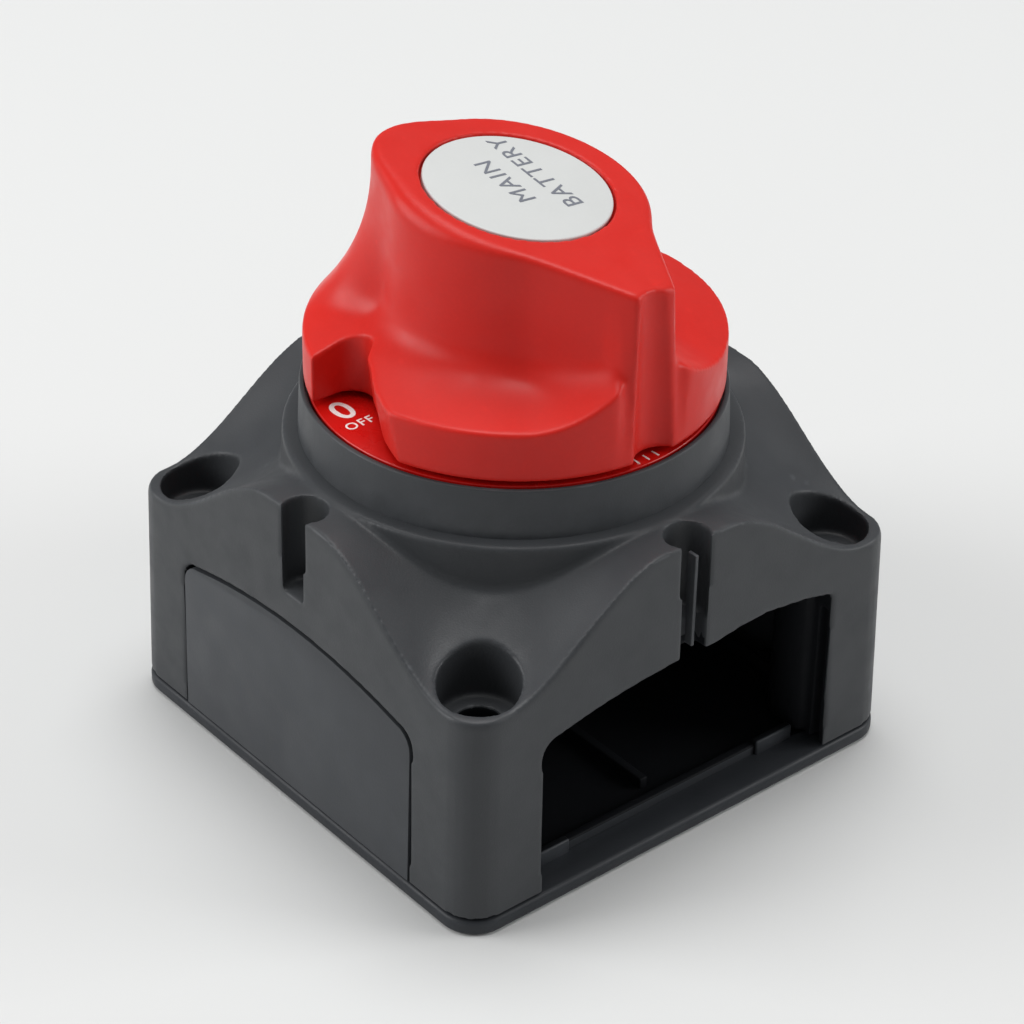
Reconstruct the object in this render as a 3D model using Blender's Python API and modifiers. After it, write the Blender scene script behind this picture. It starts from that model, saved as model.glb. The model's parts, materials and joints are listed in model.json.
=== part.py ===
"""Battery isolator switch for boats: contoured housing, turning knob and the works inside.

Run with: blender --background --python part.py
The origin is the centre of the base plate's underside and +Z is the knob's axis. Sizes are in
millimetres and are scaled to metres where the meshes are made. The switch stands at OFF: the knob's
pointer is towards +X, its reading window towards -Y, and the +X cable opening has no cover.
"""
import math

import bmesh
import bpy
from mathutils import Matrix, Vector

MM = 0.001
GAP = 0.3                       # clearance between neighbouring pieces
OVERSHOOT = 1.0                 # how far a cutter runs past the face that it cuts

# base plate
BASE_HALF = 34.0
CORNER_RADIUS = 4.7
BASE_THICKNESS = 2.0
RAIL_OUTER = 29.4
RAIL_WIDTH = 1.2
RAIL_HALF_LENGTH = 19.4
RAIL_TOP = 3.4
HOOK_PLACE = 18.2
HOOK_WIDTH = 6.0
HOOK_REACH = 0.5                # how far a hook stands out from its rail
HOOK_TOP = 4.0
RIB_HALF_LENGTH = 26.0
RIB_HALF_WIDTH = 0.6
RIB_TOP = 3.4

# housing
HOUSING_BOTTOM = 2.4
DRAFT = 0.02                    # inward lean of the side faces, mm per mm of height
SHOULDER_HEIGHT = 30.0
FACE_RISE = 12.0                # height of a side face's middle over its corners
FACE_CREST_HALF = 5.0
FACE_SLOPE_WIDTH = 24.0
PLINTH_RADIUS = 28.0
PLINTH_DRAFT = 0.2
LEDGE_HEIGHT = 42.25
LEDGE_GROOVE = 0.15             # how far the plinth's foot is below the ledge
DIAGONAL_DROP = 5.5             # how much lower the foot is on the diagonals
DIAGONAL_POWER = 1.3
SWEEP_POWER = 1.8
WALL_SHARES = (0.0, 0.5, 0.97)  # rings up a side face, as shares of its height
SWEEP_SHARES = (0.98, 0.85, 0.65, 0.42, 0.2, 0.0)    # rings from the side faces to the plinth
OCTANT_DEGREES = (0.0, 6.0, 12.0, 18.0, 24.0, 30.0, 35.0, 39.0, 41.0, 43.0)
COLLAR_FOOT_RADIUS = 26.1
COLLAR_RADIUS = 25.8
COLLAR_TOP = 48.6
COLLAR_CHAMFER = 0.3
CAVITY_HALF = 31.2
CAVITY_TOP = 27.5
MOUNT_PLACE = 27.4              # screw holes, from the centre along X and along Y
MOUNT_HOLE_RADIUS = 2.7
COUNTERBORE_RADIUS = 4.9
COUNTERBORE_FLOOR = 25.8
PILLAR_RADIUS = 5.8
CHAMBER_RADIUS = 25.0
CHAMBER_STEP = 39.8
CHAMBER_UPPER_RADIUS = 23.5
ROOF_BOTTOM = 44.7
ROOF_TOP = 47.5
DIAL_SEAT_RADIUS = 25.2
SEAL_SEAT_RADIUS = 8.9
SEAL_SEAT_FLOOR = 45.6
SHAFT_HOLE_RADIUS = 6.3

# cable openings and their covers
OPENING_HALF = 22.8
OPENING_CORNER = 2.7
OPENING_SPRING = 23.9           # height where the arch meets the corner rounds
OPENING_RISE = 2.3
OPEN_CORNER = ((2.6, 26.1), (7.9, 26.8), (11.9, 27.0), (18.5, 26.1), (22.8, 25.0))
COVER_THICKNESS = 2.5
COVER_LIP_HALF = 16.0
COVER_LIP_THICKNESS = 1.2
COVER_LIP_BOTTOM = 20.0
COVER_LIP_ROOT = 23.4           # the lip is joined to the panel up to this height

# interlock slots, one in each side face
SLOT_HALF_WIDTH = 1.95
SLOT_HOLE_RADIUS = 2.8
SLOT_HOLE_PLACE = 31.3
SLOT_BOTTOM = 30.5
OPEN_SLOT_BOTTOM = 25.0         # on the +X face it breaks into the opening

# dial and shaft parts
DIAL_RADIUS = 24.9
DIAL_HOLE_RADIUS = 7.2
DIAL_BOTTOM = 47.8
DIAL_TOP = 48.7
SEAL_RADIUS = 7.45
SEAL_SECTION = 0.8
SEAL_HEIGHT = 46.6
BUSH_RADIUS = 9.7
BUSH_BOTTOM = 41.4
BUSH_TOP = 44.3

# rotor
ROTOR_RADIUS = 19.2
ROTOR_BOTTOM = 35.4
ROTOR_TOP = 41.0
SHAFT_RADIUS = 5.9
SHAFT_TOP = 50.6
DRIVE_HALF = 4.0
DRIVE_TOP = 63.0
BAR_SLOT_HALF_LENGTH = 18.4
BAR_SLOT_HALF_WIDTH = 5.4
BAR_SLOT_TOP = 38.8
SPRING_POCKET_RADIUS = 4.3
SPRING_POCKET_TOP = 44.0
SCREW_HOLE_BOTTOM = 52.0

# contact parts
BAR_HALF_LENGTH = 18.0
BAR_HALF_WIDTH = 5.0
BAR_BOTTOM = 34.4
BAR_TOP = 37.4
BAR_EDGE = 0.4
CONTACT_COIL_RADIUS = 3.4
CONTACT_WIRE = 0.45
CONTACT_TURNS = 4.0

# detents
DETENT_PLACE = 14.0
BALL_RADIUS = 2.2
BALL_POCKET_RADIUS = 2.5
BALL_POCKET_BOTTOM = 35.9
DETENT_COIL_RADIUS = 1.75
DETENT_WIRE = 0.3
DETENT_TURNS = 3.0
DETENT_SPRING_BOTTOM = 36.2
DETENT_SPRING_TOP = 38.5
DETENT_RING_INNER = 10.2
DETENT_RING_OUTER = 19.3
DETENT_RING_BOTTOM = 43.5
DETENT_RING_TOP = 44.4
DIMPLE_RADIUS = 1.6

# terminal plate, its screws and the studs
PLATE_RADIUS = 24.6
PLATE_BOTTOM = 27.8
PLATE_TOP = 31.0
BARRIER_HALF_LENGTH = 9.0
BARRIER_HALF_WIDTH = 0.9
BARRIER_BOTTOM = 14.0
PLATE_SCREW_PLACE = 16.0
PLATE_SCREW_RADIUS = 1.2
PLATE_SCREW_TIP = 38.0
PLATE_SCREW_HEAD_RADIUS = 2.9
PLATE_SCREW_HEAD_HEIGHT = 1.9
PLATE_SCREW_HEAD_DOME = 0.7
PLATE_CROSS = (1.6, 0.35, 1.0)  # half length, half width and depth of the cross recess
HEAD_CROWN = 0.75               # a screw head's flat crown, as a share of its radius
BOSS_RADIUS = 2.9
STUD_PLACE = 13.5
STUD_RADIUS = 4.8
STUD_TIP = 8.0
STUD_HEAD_HALF = 5.0
STUD_HEAD_TOP = 34.0
WASHER_RADIUS = 9.5
WASHER_BOTTOM = 26.0
SPRING_WASHER_RADIUS = 8.2
SPRING_WASHER_BOTTOM = 24.0
SPRING_WASHER_TOP = 25.7
SPRING_WASHER_SPLIT = 1.2
NUT_RADIUS = 9.2
NUT_BOTTOM = 16.0
NUT_TOP = 23.7

# knob
KNOB_RADIUS = 25.3
KNOB_BOTTOM = 49.3
KNOB_CHAMFER = 0.4
KNOB_CENTRE_HEIGHT = 74.0       # top face, on the axis
KNOB_SLOPE = (-0.148, -0.098)    # rise of the top face per mm along X and Y
BODY_RADIUS = 15.5
POINTER_REACH = 24.0
POINTER_FLANK = math.radians(60.7)
FRONT_FLANK_OFFSET = 13.9
REAR_FLANK_OFFSET = 14.6
FLANK_BLEND = 36.0              # how tightly a flank turns into the round body
FRONT_ANGLE = math.radians(-60.0)
FRONT_SPREAD = math.radians(60.0)
FRONT_FLAT = 0.7                # how much the body is pared away at the front
POINTER_END = 7.6               # degrees either side of the pointer
HEEL_ANGLE = math.radians(-153.0)
HEEL_SPREAD = math.radians(40.0)
HEEL_BULGE = 2.5
FRONT_RIM = 55.7
REAR_RIM = 56.0
SCOOP_POWER = 11.0              # a scoop has a near level floor and a near upright wall
HEEL_POWER = 2.4                # the heel spreads out gradually
SCOOP_END = 118.0               # degrees from the pointer where a scoop starts to run out
SCOOP_RUN_OUT = 24.0
FRONT_RIM_CLIMB = 4.2           # extra height of the skirt's rim beside the pointer
REAR_RIM_CLIMB = 3.5
RIM_CLIMB_START = 11.0          # degrees from the pointer
RIM_CLIMB_END = 26.0
POINTER_BLEND_END = 12.6
TOP_EDGE = 0.8
SIDE_SHARES = (0.0, 0.04, 0.1, 0.18, 0.3, 0.45, 0.65, 0.85)     # rings from the rim to the top
POINTER_DEGREES = (0.0, 4.0, 7.6, 8.6, 10.0, 12.0, 15.0, 18.0, 22.0, 27.0, 33.0, 40.0, 48.0)
BODY_STEP = 8.0                 # degrees between the knob's sections away from the pointer
CHANNEL_RADIUS = 3.6
CHANNEL_PLACE = 27.0
WINDOW_TOP = 62.5
WINDOW_LEFT = -8.4              # the window's straight wall, along X
WINDOW_CORNER = 2.8
WINDOW_BACK = -20.3
WINDOW_FLARE = ((0.2, -20.1), (4.0, -22.3), (7.5, -23.6), (11.0, -24.3), (13.0, -28.0))
WINDOW_MOUTH = -28.0
KNOB_HOLLOW_INNER = 8.2
KNOB_HOLLOW_OUTER = ((11.0, 67.0), (12.0, 63.0), (16.0, 57.0))   # radius, height
SOCKET_TOP = 63.4
HEAD_POCKET_FLOOR = 65.7
HEAD_POCKET_RADIUS = 4.2
LABEL_RADIUS = 11.3
LABEL_THICKNESS = 0.8
LABEL_RECESS = 1.2
KNOB_SCREW_RADIUS = 1.6
KNOB_SCREW_TIP = 53.0
KNOB_SCREW_HEAD_RADIUS = 3.4
KNOB_SCREW_HEAD_TOP = 69.5
KNOB_CROSS = (2.0, 0.5, 1.5)    # half length, half width and depth of the cross recess
KNOB_WASHER_RADIUS = 3.8
KNOB_WASHER_TOP = 66.6

ROUND = 24                      # sides of an ordinary round piece
FINE_ROUND = 48                 # sides of the large rings

COLOURS = {
    "charcoal": ((0.07, 0.075, 0.085, 1.0), 0.55, 0.0),
    "black": ((0.02, 0.02, 0.022, 1.0), 0.6, 0.0),
    "knob_red": ((0.62, 0.03, 0.025, 1.0), 0.35, 0.0),
    "dial_red": ((0.55, 0.01, 0.01, 1.0), 0.3, 0.0),
    "label_white": ((0.85, 0.86, 0.84, 1.0), 0.4, 0.0),
    "nylon": ((0.75, 0.73, 0.66, 1.0), 0.5, 0.0),
    "rubber": ((0.01, 0.01, 0.01, 1.0), 0.8, 0.0),
    "copper": ((0.72, 0.32, 0.18, 1.0), 0.25, 1.0),
    "tinned": ((0.7, 0.69, 0.65, 1.0), 0.3, 1.0),
    "steel": ((0.6, 0.6, 0.62, 1.0), 0.25, 1.0),
}

parts = None
cutters = None


# ---------------------------------------------------------------- scene and object helpers

def clear_scene():
    for old in list(bpy.data.objects):
        bpy.data.objects.remove(old, do_unlink=True)


def new_collection(name):
    collection = bpy.data.collections.new(name)
    bpy.context.scene.collection.children.link(collection)
    return collection


def material(name):
    found = bpy.data.materials.get(name)
    if found:
        return found
    colour, roughness, metallic = COLOURS[name]
    made = bpy.data.materials.new(name)
    made.use_nodes = True
    shader = made.node_tree.nodes["Principled BSDF"]
    shader.inputs["Base Color"].default_value = colour
    shader.inputs["Roughness"].default_value = roughness
    shader.inputs["Metallic"].default_value = metallic
    made.diffuse_color = colour
    return made


def object_from_bmesh(name, bm):
    """Scale a bmesh from millimetres to metres and link it as an object with no collection role."""
    bmesh.ops.recalc_face_normals(bm, faces=bm.faces)
    bmesh.ops.scale(bm, vec=(MM, MM, MM), verts=bm.verts)
    mesh = bpy.data.meshes.new(name)
    bm.to_mesh(mesh)
    bm.free()
    return bpy.data.objects.new(name, mesh)


def as_part(piece, finish, smooth_angle=35.0):
    piece.data.materials.append(material(finish))
    parts.objects.link(piece)
    piece.data.shade_smooth()
    piece.data.set_sharp_from_angle(angle=math.radians(smooth_angle))
    return piece


def as_cutter(piece):
    piece.hide_render = True
    piece.display_type = "WIRE"
    cutters.objects.link(piece)
    return piece


def combine(target, tool, operation):
    modifier = target.modifiers.new(tool.name, "BOOLEAN")
    modifier.operation = operation
    modifier.solver = "EXACT"
    modifier.object = tool


def cut(target, tool):
    combine(target, as_cutter(tool), "DIFFERENCE")


def join(target, tool):
    combine(target, as_cutter(tool), "UNION")


def turn_quarters(piece, quarters):
    """Turn an object about the knob's axis by a number of quarter turns."""
    piece.matrix_world = Matrix.Rotation(math.radians(90.0 * quarters), 4, "Z") @ piece.matrix_world


# ---------------------------------------------------------------- basic shapes, in millimetres

def box(name, low, high):
    bm = bmesh.new()
    bmesh.ops.create_cube(bm, size=1.0)
    size = Vector(high) - Vector(low)
    middle = (Vector(high) + Vector(low)) / 2
    bmesh.ops.scale(bm, vec=size, verts=bm.verts)
    bmesh.ops.translate(bm, vec=middle, verts=bm.verts)
    return object_from_bmesh(name, bm)


def cylinder(name, centre, radius, bottom, top, sides=ROUND):
    bm = bmesh.new()
    bmesh.ops.create_cone(bm, cap_ends=True, segments=sides, radius1=radius, radius2=radius,
                          depth=top - bottom)
    bmesh.ops.translate(bm, vec=(centre[0], centre[1], (top + bottom) / 2), verts=bm.verts)
    return object_from_bmesh(name, bm)


def turned(name, profile, closed=False, sides=ROUND):
    """Turn a profile of (radius, height) points about Z with a Screw modifier.

    An open profile starts and ends on the axis. Its outer side runs from top to bottom.
    """
    bm = bmesh.new()
    points = [bm.verts.new((radius * MM, 0.0, height * MM)) for radius, height in profile]
    for first, second in zip(points, points[1:]):
        bm.edges.new((first, second))
    if closed:
        bm.edges.new((points[-1], points[0]))
    mesh = bpy.data.meshes.new(name)
    bm.to_mesh(mesh)
    bm.free()
    piece = bpy.data.objects.new(name, mesh)
    screw = piece.modifiers.new("turn", "SCREW")
    screw.axis = "Z"
    screw.angle = math.tau
    screw.steps = sides
    screw.render_steps = sides
    screw.use_merge_vertices = True
    screw.merge_threshold = 0.00001
    screw.use_smooth_shade = True
    return piece


def ring(name, inner, outer, bottom, top, sides=ROUND):
    return turned(name, [(inner, top), (outer, top), (outer, bottom), (inner, bottom)], True, sides)


def mesh_from_curve(name, curve):
    """Make a closed mesh object from a curve datablock."""
    maker = bpy.data.objects.new(name, curve)
    bpy.context.scene.collection.objects.link(maker)
    bpy.context.view_layer.update()
    evaluated = maker.evaluated_get(bpy.context.evaluated_depsgraph_get())
    mesh = bpy.data.meshes.new_from_object(evaluated)
    bpy.data.objects.remove(maker, do_unlink=True)
    bm = bmesh.new()
    bm.from_mesh(mesh)
    bmesh.ops.remove_doubles(bm, verts=bm.verts, dist=0.000001)
    bmesh.ops.recalc_face_normals(bm, faces=bm.faces)
    bm.to_mesh(mesh)
    bm.free()
    return bpy.data.objects.new(name, mesh)


def prism(name, outline, bottom, top):
    """Extrude a flat outline of (x, y) points between two heights."""
    curve = bpy.data.curves.new(name, "CURVE")
    curve.dimensions = "2D"
    curve.fill_mode = "BOTH"
    curve.extrude = (top - bottom) / 2 * MM
    spline = curve.splines.new("POLY")
    spline.points.add(len(outline) - 1)
    for point, (x, y) in zip(spline.points, outline):
        point.co = (x * MM, y * MM, 0.0, 1.0)
    spline.use_cyclic_u = True
    piece = mesh_from_curve(name, curve)
    piece.location.z = (top + bottom) / 2 * MM
    return piece


def coil(name, centre, radius, wire, bottom, top, turns):
    """A compression spring: a helix of round wire that fits between two heights."""
    points_per_turn = 10
    count = int(turns * points_per_turn)
    low = bottom + wire
    rise = (top - wire - low) / count
    curve = bpy.data.curves.new(name, "CURVE")
    curve.dimensions = "3D"
    curve.bevel_depth = wire * MM
    curve.bevel_resolution = 1
    curve.use_fill_caps = True
    spline = curve.splines.new("POLY")
    spline.points.add(count)
    for step, point in enumerate(spline.points):
        angle = math.tau * step / points_per_turn
        x = centre[0] + radius * math.cos(angle)
        y = centre[1] + radius * math.sin(angle)
        point.co = (x * MM, y * MM, (low + rise * step) * MM, 1.0)
    return mesh_from_curve(name, curve)


def arc(centre, radius, start, end, steps):
    """Points on an arc, from one angle in degrees to another, both ends included."""
    points = []
    for step in range(steps + 1):
        angle = math.radians(start + (end - start) * step / steps)
        points.append((centre[0] + radius * math.cos(angle), centre[1] + radius * math.sin(angle)))
    return points


def smoothstep(value):
    value = min(1.0, max(0.0, value))
    return value * value * (3.0 - 2.0 * value)


def corners():
    return [(1, 1), (-1, 1), (-1, -1), (1, -1)]


# ---------------------------------------------------------------- outlines

def rounded_square(half, radius):
    inner = half - radius
    outline = []
    for quarter, (side_x, side_y) in enumerate(corners()):
        centre = (inner * side_x, inner * side_y)
        outline += arc(centre, radius, 90.0 * quarter, 90.0 * quarter + 90.0, 6)
    return outline


def square_reach(angle, half, radius):
    """Distance from the axis to a rounded square's outline in a direction."""
    from_face = abs((angle + math.pi / 4) % (math.pi / 2) - math.pi / 4)
    inner = half - radius
    if half * math.tan(from_face) <= inner:
        return half / math.cos(from_face)
    centre = inner * math.sqrt(2.0)
    off = math.pi / 4 - from_face
    return centre * math.cos(off) + math.sqrt(radius ** 2 - (centre * math.sin(off)) ** 2)


def arch_outline(inset=0.0, bottom=HOUSING_BOTTOM - 2 * OVERSHOOT):
    """Outline of a cable opening in a side face: (along the face, height)."""
    half = OPENING_HALF - inset
    shoulder = half - OPENING_CORNER
    spring = OPENING_SPRING - inset
    right = [(half, bottom)] + arc((shoulder, spring - OPENING_CORNER), OPENING_CORNER, 0, 90, 5)
    crown = []
    for step in range(1, 12):
        along = shoulder * (1.0 - step / 6.0)
        crown.append((along, spring + OPENING_RISE * (1.0 - (along / shoulder) ** 2)))
    left = [(-x, z) for x, z in reversed(right)]
    return right + crown + left


# ---------------------------------------------------------------- housing

def housing_angles():
    """Directions for the housing's rings, closer together at the rounded corners."""
    mirrored = [90.0 - angle for angle in reversed(OCTANT_DEGREES[1:])]
    quadrant = [*OCTANT_DEGREES, 45.0, *mirrored]
    return [math.radians(angle + 90.0 * turn) for turn in range(4) for angle in quadrant]


def side_half(height):
    return BASE_HALF - DRAFT * height


def edge_height(angle):
    """Height of the side faces' upper edge: high in the middle of a face, low at the corners."""
    from_face = abs((angle + math.pi / 4) % (math.pi / 2) - math.pi / 4)
    along = side_half(SHOULDER_HEIGHT) * math.tan(from_face)
    fall = smoothstep((along - FACE_CREST_HALF) / FACE_SLOPE_WIDTH)
    return SHOULDER_HEIGHT + FACE_RISE * (1.0 - fall)


def foot_height(angle):
    """Height of the plinth's foot, lowest on the diagonals."""
    drop = DIAGONAL_DROP * (math.sin(2.0 * angle) ** 2) ** DIAGONAL_POWER
    return LEDGE_HEIGHT - LEDGE_GROOVE - drop


def housing_rings():
    """Rings of the outer surface from the bottom edge up to the collar's top."""
    angles = housing_angles()
    edges = [edge_height(angle) for angle in angles]
    reaches = [square_reach(a, side_half(z), CORNER_RADIUS) for a, z in zip(angles, edges)]
    foot_radius = PLINTH_RADIUS + PLINTH_DRAFT
    rings = []
    for share in WALL_SHARES:
        heights = [HOUSING_BOTTOM + share * (edge - HOUSING_BOTTOM) for edge in edges]
        rings.append([(square_reach(a, side_half(z), CORNER_RADIUS), z)
                      for a, z in zip(angles, heights)])
    for share in SWEEP_SHARES:
        row = []
        for angle, reach, edge in zip(angles, reaches, edges):
            foot = foot_height(angle)
            rise = (foot - edge) * (1.0 - share) ** SWEEP_POWER
            row.append((foot_radius + share * (reach - foot_radius), edge + rise))
        rings.append(row)
    for radius, height in ((PLINTH_RADIUS, LEDGE_HEIGHT), (COLLAR_FOOT_RADIUS, LEDGE_HEIGHT),
                           (COLLAR_RADIUS, COLLAR_TOP - COLLAR_CHAMFER),
                           (COLLAR_RADIUS - COLLAR_CHAMFER, COLLAR_TOP)):
        rings.append([(radius, height)] * len(angles))
    return angles, rings


def lofted(name, angles, rings):
    """A closed solid through rings of (radius, height) points, with flat ends."""
    bm = bmesh.new()
    rows = []
    for row in rings:
        rows.append([bm.verts.new((radius * math.cos(angle), radius * math.sin(angle), height))
                     for angle, (radius, height) in zip(angles, row)])
    count = len(angles)
    for lower, upper in zip(rows, rows[1:]):
        for index in range(count):
            following = (index + 1) % count
            bm.faces.new((lower[index], lower[following], upper[following], upper[index]))
    bm.faces.new(list(reversed(rows[0])))
    bm.faces.new(rows[-1])
    return object_from_bmesh(name, bm)


def cable_cavity():
    """The square hollow that the cables enter from the sides."""
    return box("cable_cavity", (-CAVITY_HALF, -CAVITY_HALF, HOUSING_BOTTOM - OVERSHOOT),
               (CAVITY_HALF, CAVITY_HALF, CAVITY_TOP))


def chamber():
    """The round chamber for the works, the shaft hole and the seats for the seal and the dial."""
    above = COLLAR_TOP + OVERSHOOT
    below = CAVITY_TOP - OVERSHOOT
    profile = [(0.0, above), (DIAL_SEAT_RADIUS, above), (DIAL_SEAT_RADIUS, ROOF_TOP),
               (SEAL_SEAT_RADIUS, ROOF_TOP), (SEAL_SEAT_RADIUS, SEAL_SEAT_FLOOR),
               (SHAFT_HOLE_RADIUS, SEAL_SEAT_FLOOR), (SHAFT_HOLE_RADIUS, ROOF_BOTTOM),
               (CHAMBER_UPPER_RADIUS, ROOF_BOTTOM), (CHAMBER_UPPER_RADIUS, CHAMBER_STEP),
               (CHAMBER_RADIUS, CHAMBER_STEP), (CHAMBER_RADIUS, below), (0.0, below)]
    return turned("chamber", profile, sides=FINE_ROUND)


def opening_cutter(quarters):
    """A prism through one side wall; quarter 0 is the +X face."""
    cutter = prism(f"opening_{quarters}", arch_outline(), CAVITY_HALF - OVERSHOOT,
                   BASE_HALF + OVERSHOOT)
    upright = Matrix(((0, 0, 1, 0), (1, 0, 0, 0), (0, 1, 0, 0), (0, 0, 0, 1)))
    cutter.matrix_world = upright @ Matrix.Translation((0, 0, cutter.location.z))
    turn_quarters(cutter, quarters)
    return cutter


def open_corner_cutter():
    """The open entry is broken out higher and squarer at its +Y end."""
    outline = [(OPEN_CORNER[0][0], SHOULDER_HEIGHT / 2), (OPENING_HALF, SHOULDER_HEIGHT / 2)]
    outline += reversed(OPEN_CORNER)
    cutter = prism("open_corner", outline, CAVITY_HALF - OVERSHOOT, BASE_HALF + OVERSHOOT)
    upright = Matrix(((0, 0, 1, 0), (1, 0, 0, 0), (0, 1, 0, 0), (0, 0, 0, 1)))
    cutter.matrix_world = upright @ Matrix.Translation((0, 0, cutter.location.z))
    return cutter


def cut_interlock_slot(housing, quarters):
    """A keyhole: a round hole from above that opens through a narrow slot in the side face."""
    bottom = OPEN_SLOT_BOTTOM if quarters == 0 else SLOT_BOTTOM
    top = LEDGE_HEIGHT + 3 * OVERSHOOT
    slot = box(f"slot_{quarters}", (SLOT_HOLE_PLACE, -SLOT_HALF_WIDTH, bottom),
               (BASE_HALF + OVERSHOOT, SLOT_HALF_WIDTH, top))
    hole = cylinder(f"slot_hole_{quarters}", (SLOT_HOLE_PLACE, 0.0), SLOT_HOLE_RADIUS,
                    SLOT_BOTTOM, top, 20)
    for cutter in (slot, hole):
        turn_quarters(cutter, quarters)
        cut(housing, cutter)


def make_housing():
    housing = lofted("housing", *housing_rings())
    cut(housing, cable_cavity())
    for index, (side_x, side_y) in enumerate(corners()):
        place = (side_x * MOUNT_PLACE, side_y * MOUNT_PLACE)
        join(housing, cylinder(f"pillar_{index}", place, PILLAR_RADIUS, HOUSING_BOTTOM + GAP,
                               CAVITY_TOP + OVERSHOOT))
    cut(housing, chamber())
    for index, (side_x, side_y) in enumerate(corners()):
        place = (side_x * PLATE_SCREW_PLACE, side_y * PLATE_SCREW_PLACE)
        join(housing, cylinder(f"boss_{index}", place, BOSS_RADIUS, PLATE_TOP + GAP,
                               CHAMBER_STEP + OVERSHOOT, 20))
        cut(housing, cylinder(f"boss_hole_{index}", place, PLATE_SCREW_RADIUS + GAP,
                              PLATE_TOP - OVERSHOOT, PLATE_SCREW_TIP + GAP, 12))
    for quarters in range(4):
        cut(housing, opening_cutter(quarters))
        cut_interlock_slot(housing, quarters)
    cut(housing, open_corner_cutter())
    for index, (side_x, side_y) in enumerate(corners()):
        place = (side_x * MOUNT_PLACE, side_y * MOUNT_PLACE)
        cut(housing, cylinder(f"counterbore_{index}", place, COUNTERBORE_RADIUS,
                              COUNTERBORE_FLOOR, LEDGE_HEIGHT))
        cut(housing, cylinder(f"mount_hole_{index}", place, MOUNT_HOLE_RADIUS,
                              HOUSING_BOTTOM - OVERSHOOT, COUNTERBORE_FLOOR + OVERSHOOT, 24))
    return as_part(housing, "charcoal")


# ---------------------------------------------------------------- base plate and cable covers

def make_base_plate():
    plate = prism("base_plate", rounded_square(BASE_HALF, CORNER_RADIUS), 0.0, BASE_THICKNESS)
    root = BASE_THICKNESS / 2
    rail_inner = RAIL_OUTER - RAIL_WIDTH
    for quarters in range(4):
        pieces = [box(f"rail_{quarters}", (rail_inner, -RAIL_HALF_LENGTH, root),
                      (RAIL_OUTER, RAIL_HALF_LENGTH, RAIL_TOP))]
        for side in (-1, 1):
            place = side * HOOK_PLACE
            pieces.append(box(f"hook_{quarters}_{side + 1}",
                              (RAIL_OUTER - RAIL_WIDTH / 2, place - HOOK_WIDTH / 2, root),
                              (RAIL_OUTER + HOOK_REACH, place + HOOK_WIDTH / 2, HOOK_TOP)))
        for piece in pieces:
            turn_quarters(piece, quarters)
            join(plate, piece)
    join(plate, box("rib_x", (-RIB_HALF_LENGTH, -RIB_HALF_WIDTH, root),
                    (RIB_HALF_LENGTH, RIB_HALF_WIDTH, RIB_TOP)))
    join(plate, box("rib_y", (-RIB_HALF_WIDTH, -RIB_HALF_LENGTH, root),
                    (RIB_HALF_WIDTH, RIB_HALF_LENGTH, RIB_TOP)))
    for index, (side_x, side_y) in enumerate(corners()):
        cut(plate, cylinder(f"plate_hole_{index}", (side_x * MOUNT_PLACE, side_y * MOUNT_PLACE),
                            MOUNT_HOLE_RADIUS, -OVERSHOOT, BASE_THICKNESS + OVERSHOOT, 24))
    return as_part(plate, "charcoal")


def make_cable_cover(name, quarters):
    """A panel that fills a side opening flush with the wall, with a lip behind the arch."""
    cover = prism(name, arch_outline(GAP, HOUSING_BOTTOM), -COVER_THICKNESS, 0.0)
    shift = Matrix.Translation((0, 0, cover.location.z))
    upright = Matrix(((0, 0, 1, BASE_HALF * MM), (1, 0, 0, 0), (0, 1, 0, 0), (0, 0, 0, 1)))
    lean = Matrix.Translation((BASE_HALF * MM, 0, 0)) @ Matrix.Rotation(-DRAFT, 4, "Y")
    lean = lean @ Matrix.Translation((-BASE_HALF * MM, 0, 0))
    cover.matrix_world = lean @ upright @ shift
    lip_outer = CAVITY_HALF - GAP
    lip_inner = lip_outer - COVER_LIP_THICKNESS
    lip = box(f"{name}_lip", (lip_inner, -COVER_LIP_HALF, COVER_LIP_BOTTOM),
              (lip_outer, COVER_LIP_HALF, CAVITY_TOP - GAP))
    root = box(f"{name}_root", (lip_outer - GAP, OVERSHOOT - COVER_LIP_HALF,
                                COVER_LIP_BOTTOM + OVERSHOOT),
               (BASE_HALF - COVER_THICKNESS / 2, COVER_LIP_HALF - OVERSHOOT, COVER_LIP_ROOT))
    for piece in (cover, lip, root):
        turn_quarters(piece, quarters)
    join(cover, lip)
    join(cover, root)
    return as_part(cover, "charcoal")


# ---------------------------------------------------------------- dial, seal and bush

def make_dial_parts():
    as_part(ring("dial_ring", DIAL_HOLE_RADIUS, DIAL_RADIUS, DIAL_BOTTOM, DIAL_TOP, FINE_ROUND),
            "dial_red")
    section = arc((SEAL_RADIUS, SEAL_HEIGHT), SEAL_SECTION, 90.0, -210.0, 5)
    as_part(turned("shaft_seal", section, True), "rubber")
    as_part(ring("shaft_bush", SHAFT_HOLE_RADIUS, BUSH_RADIUS, BUSH_BOTTOM, BUSH_TOP), "nylon")


# ---------------------------------------------------------------- rotor, contact bar and detents

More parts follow.
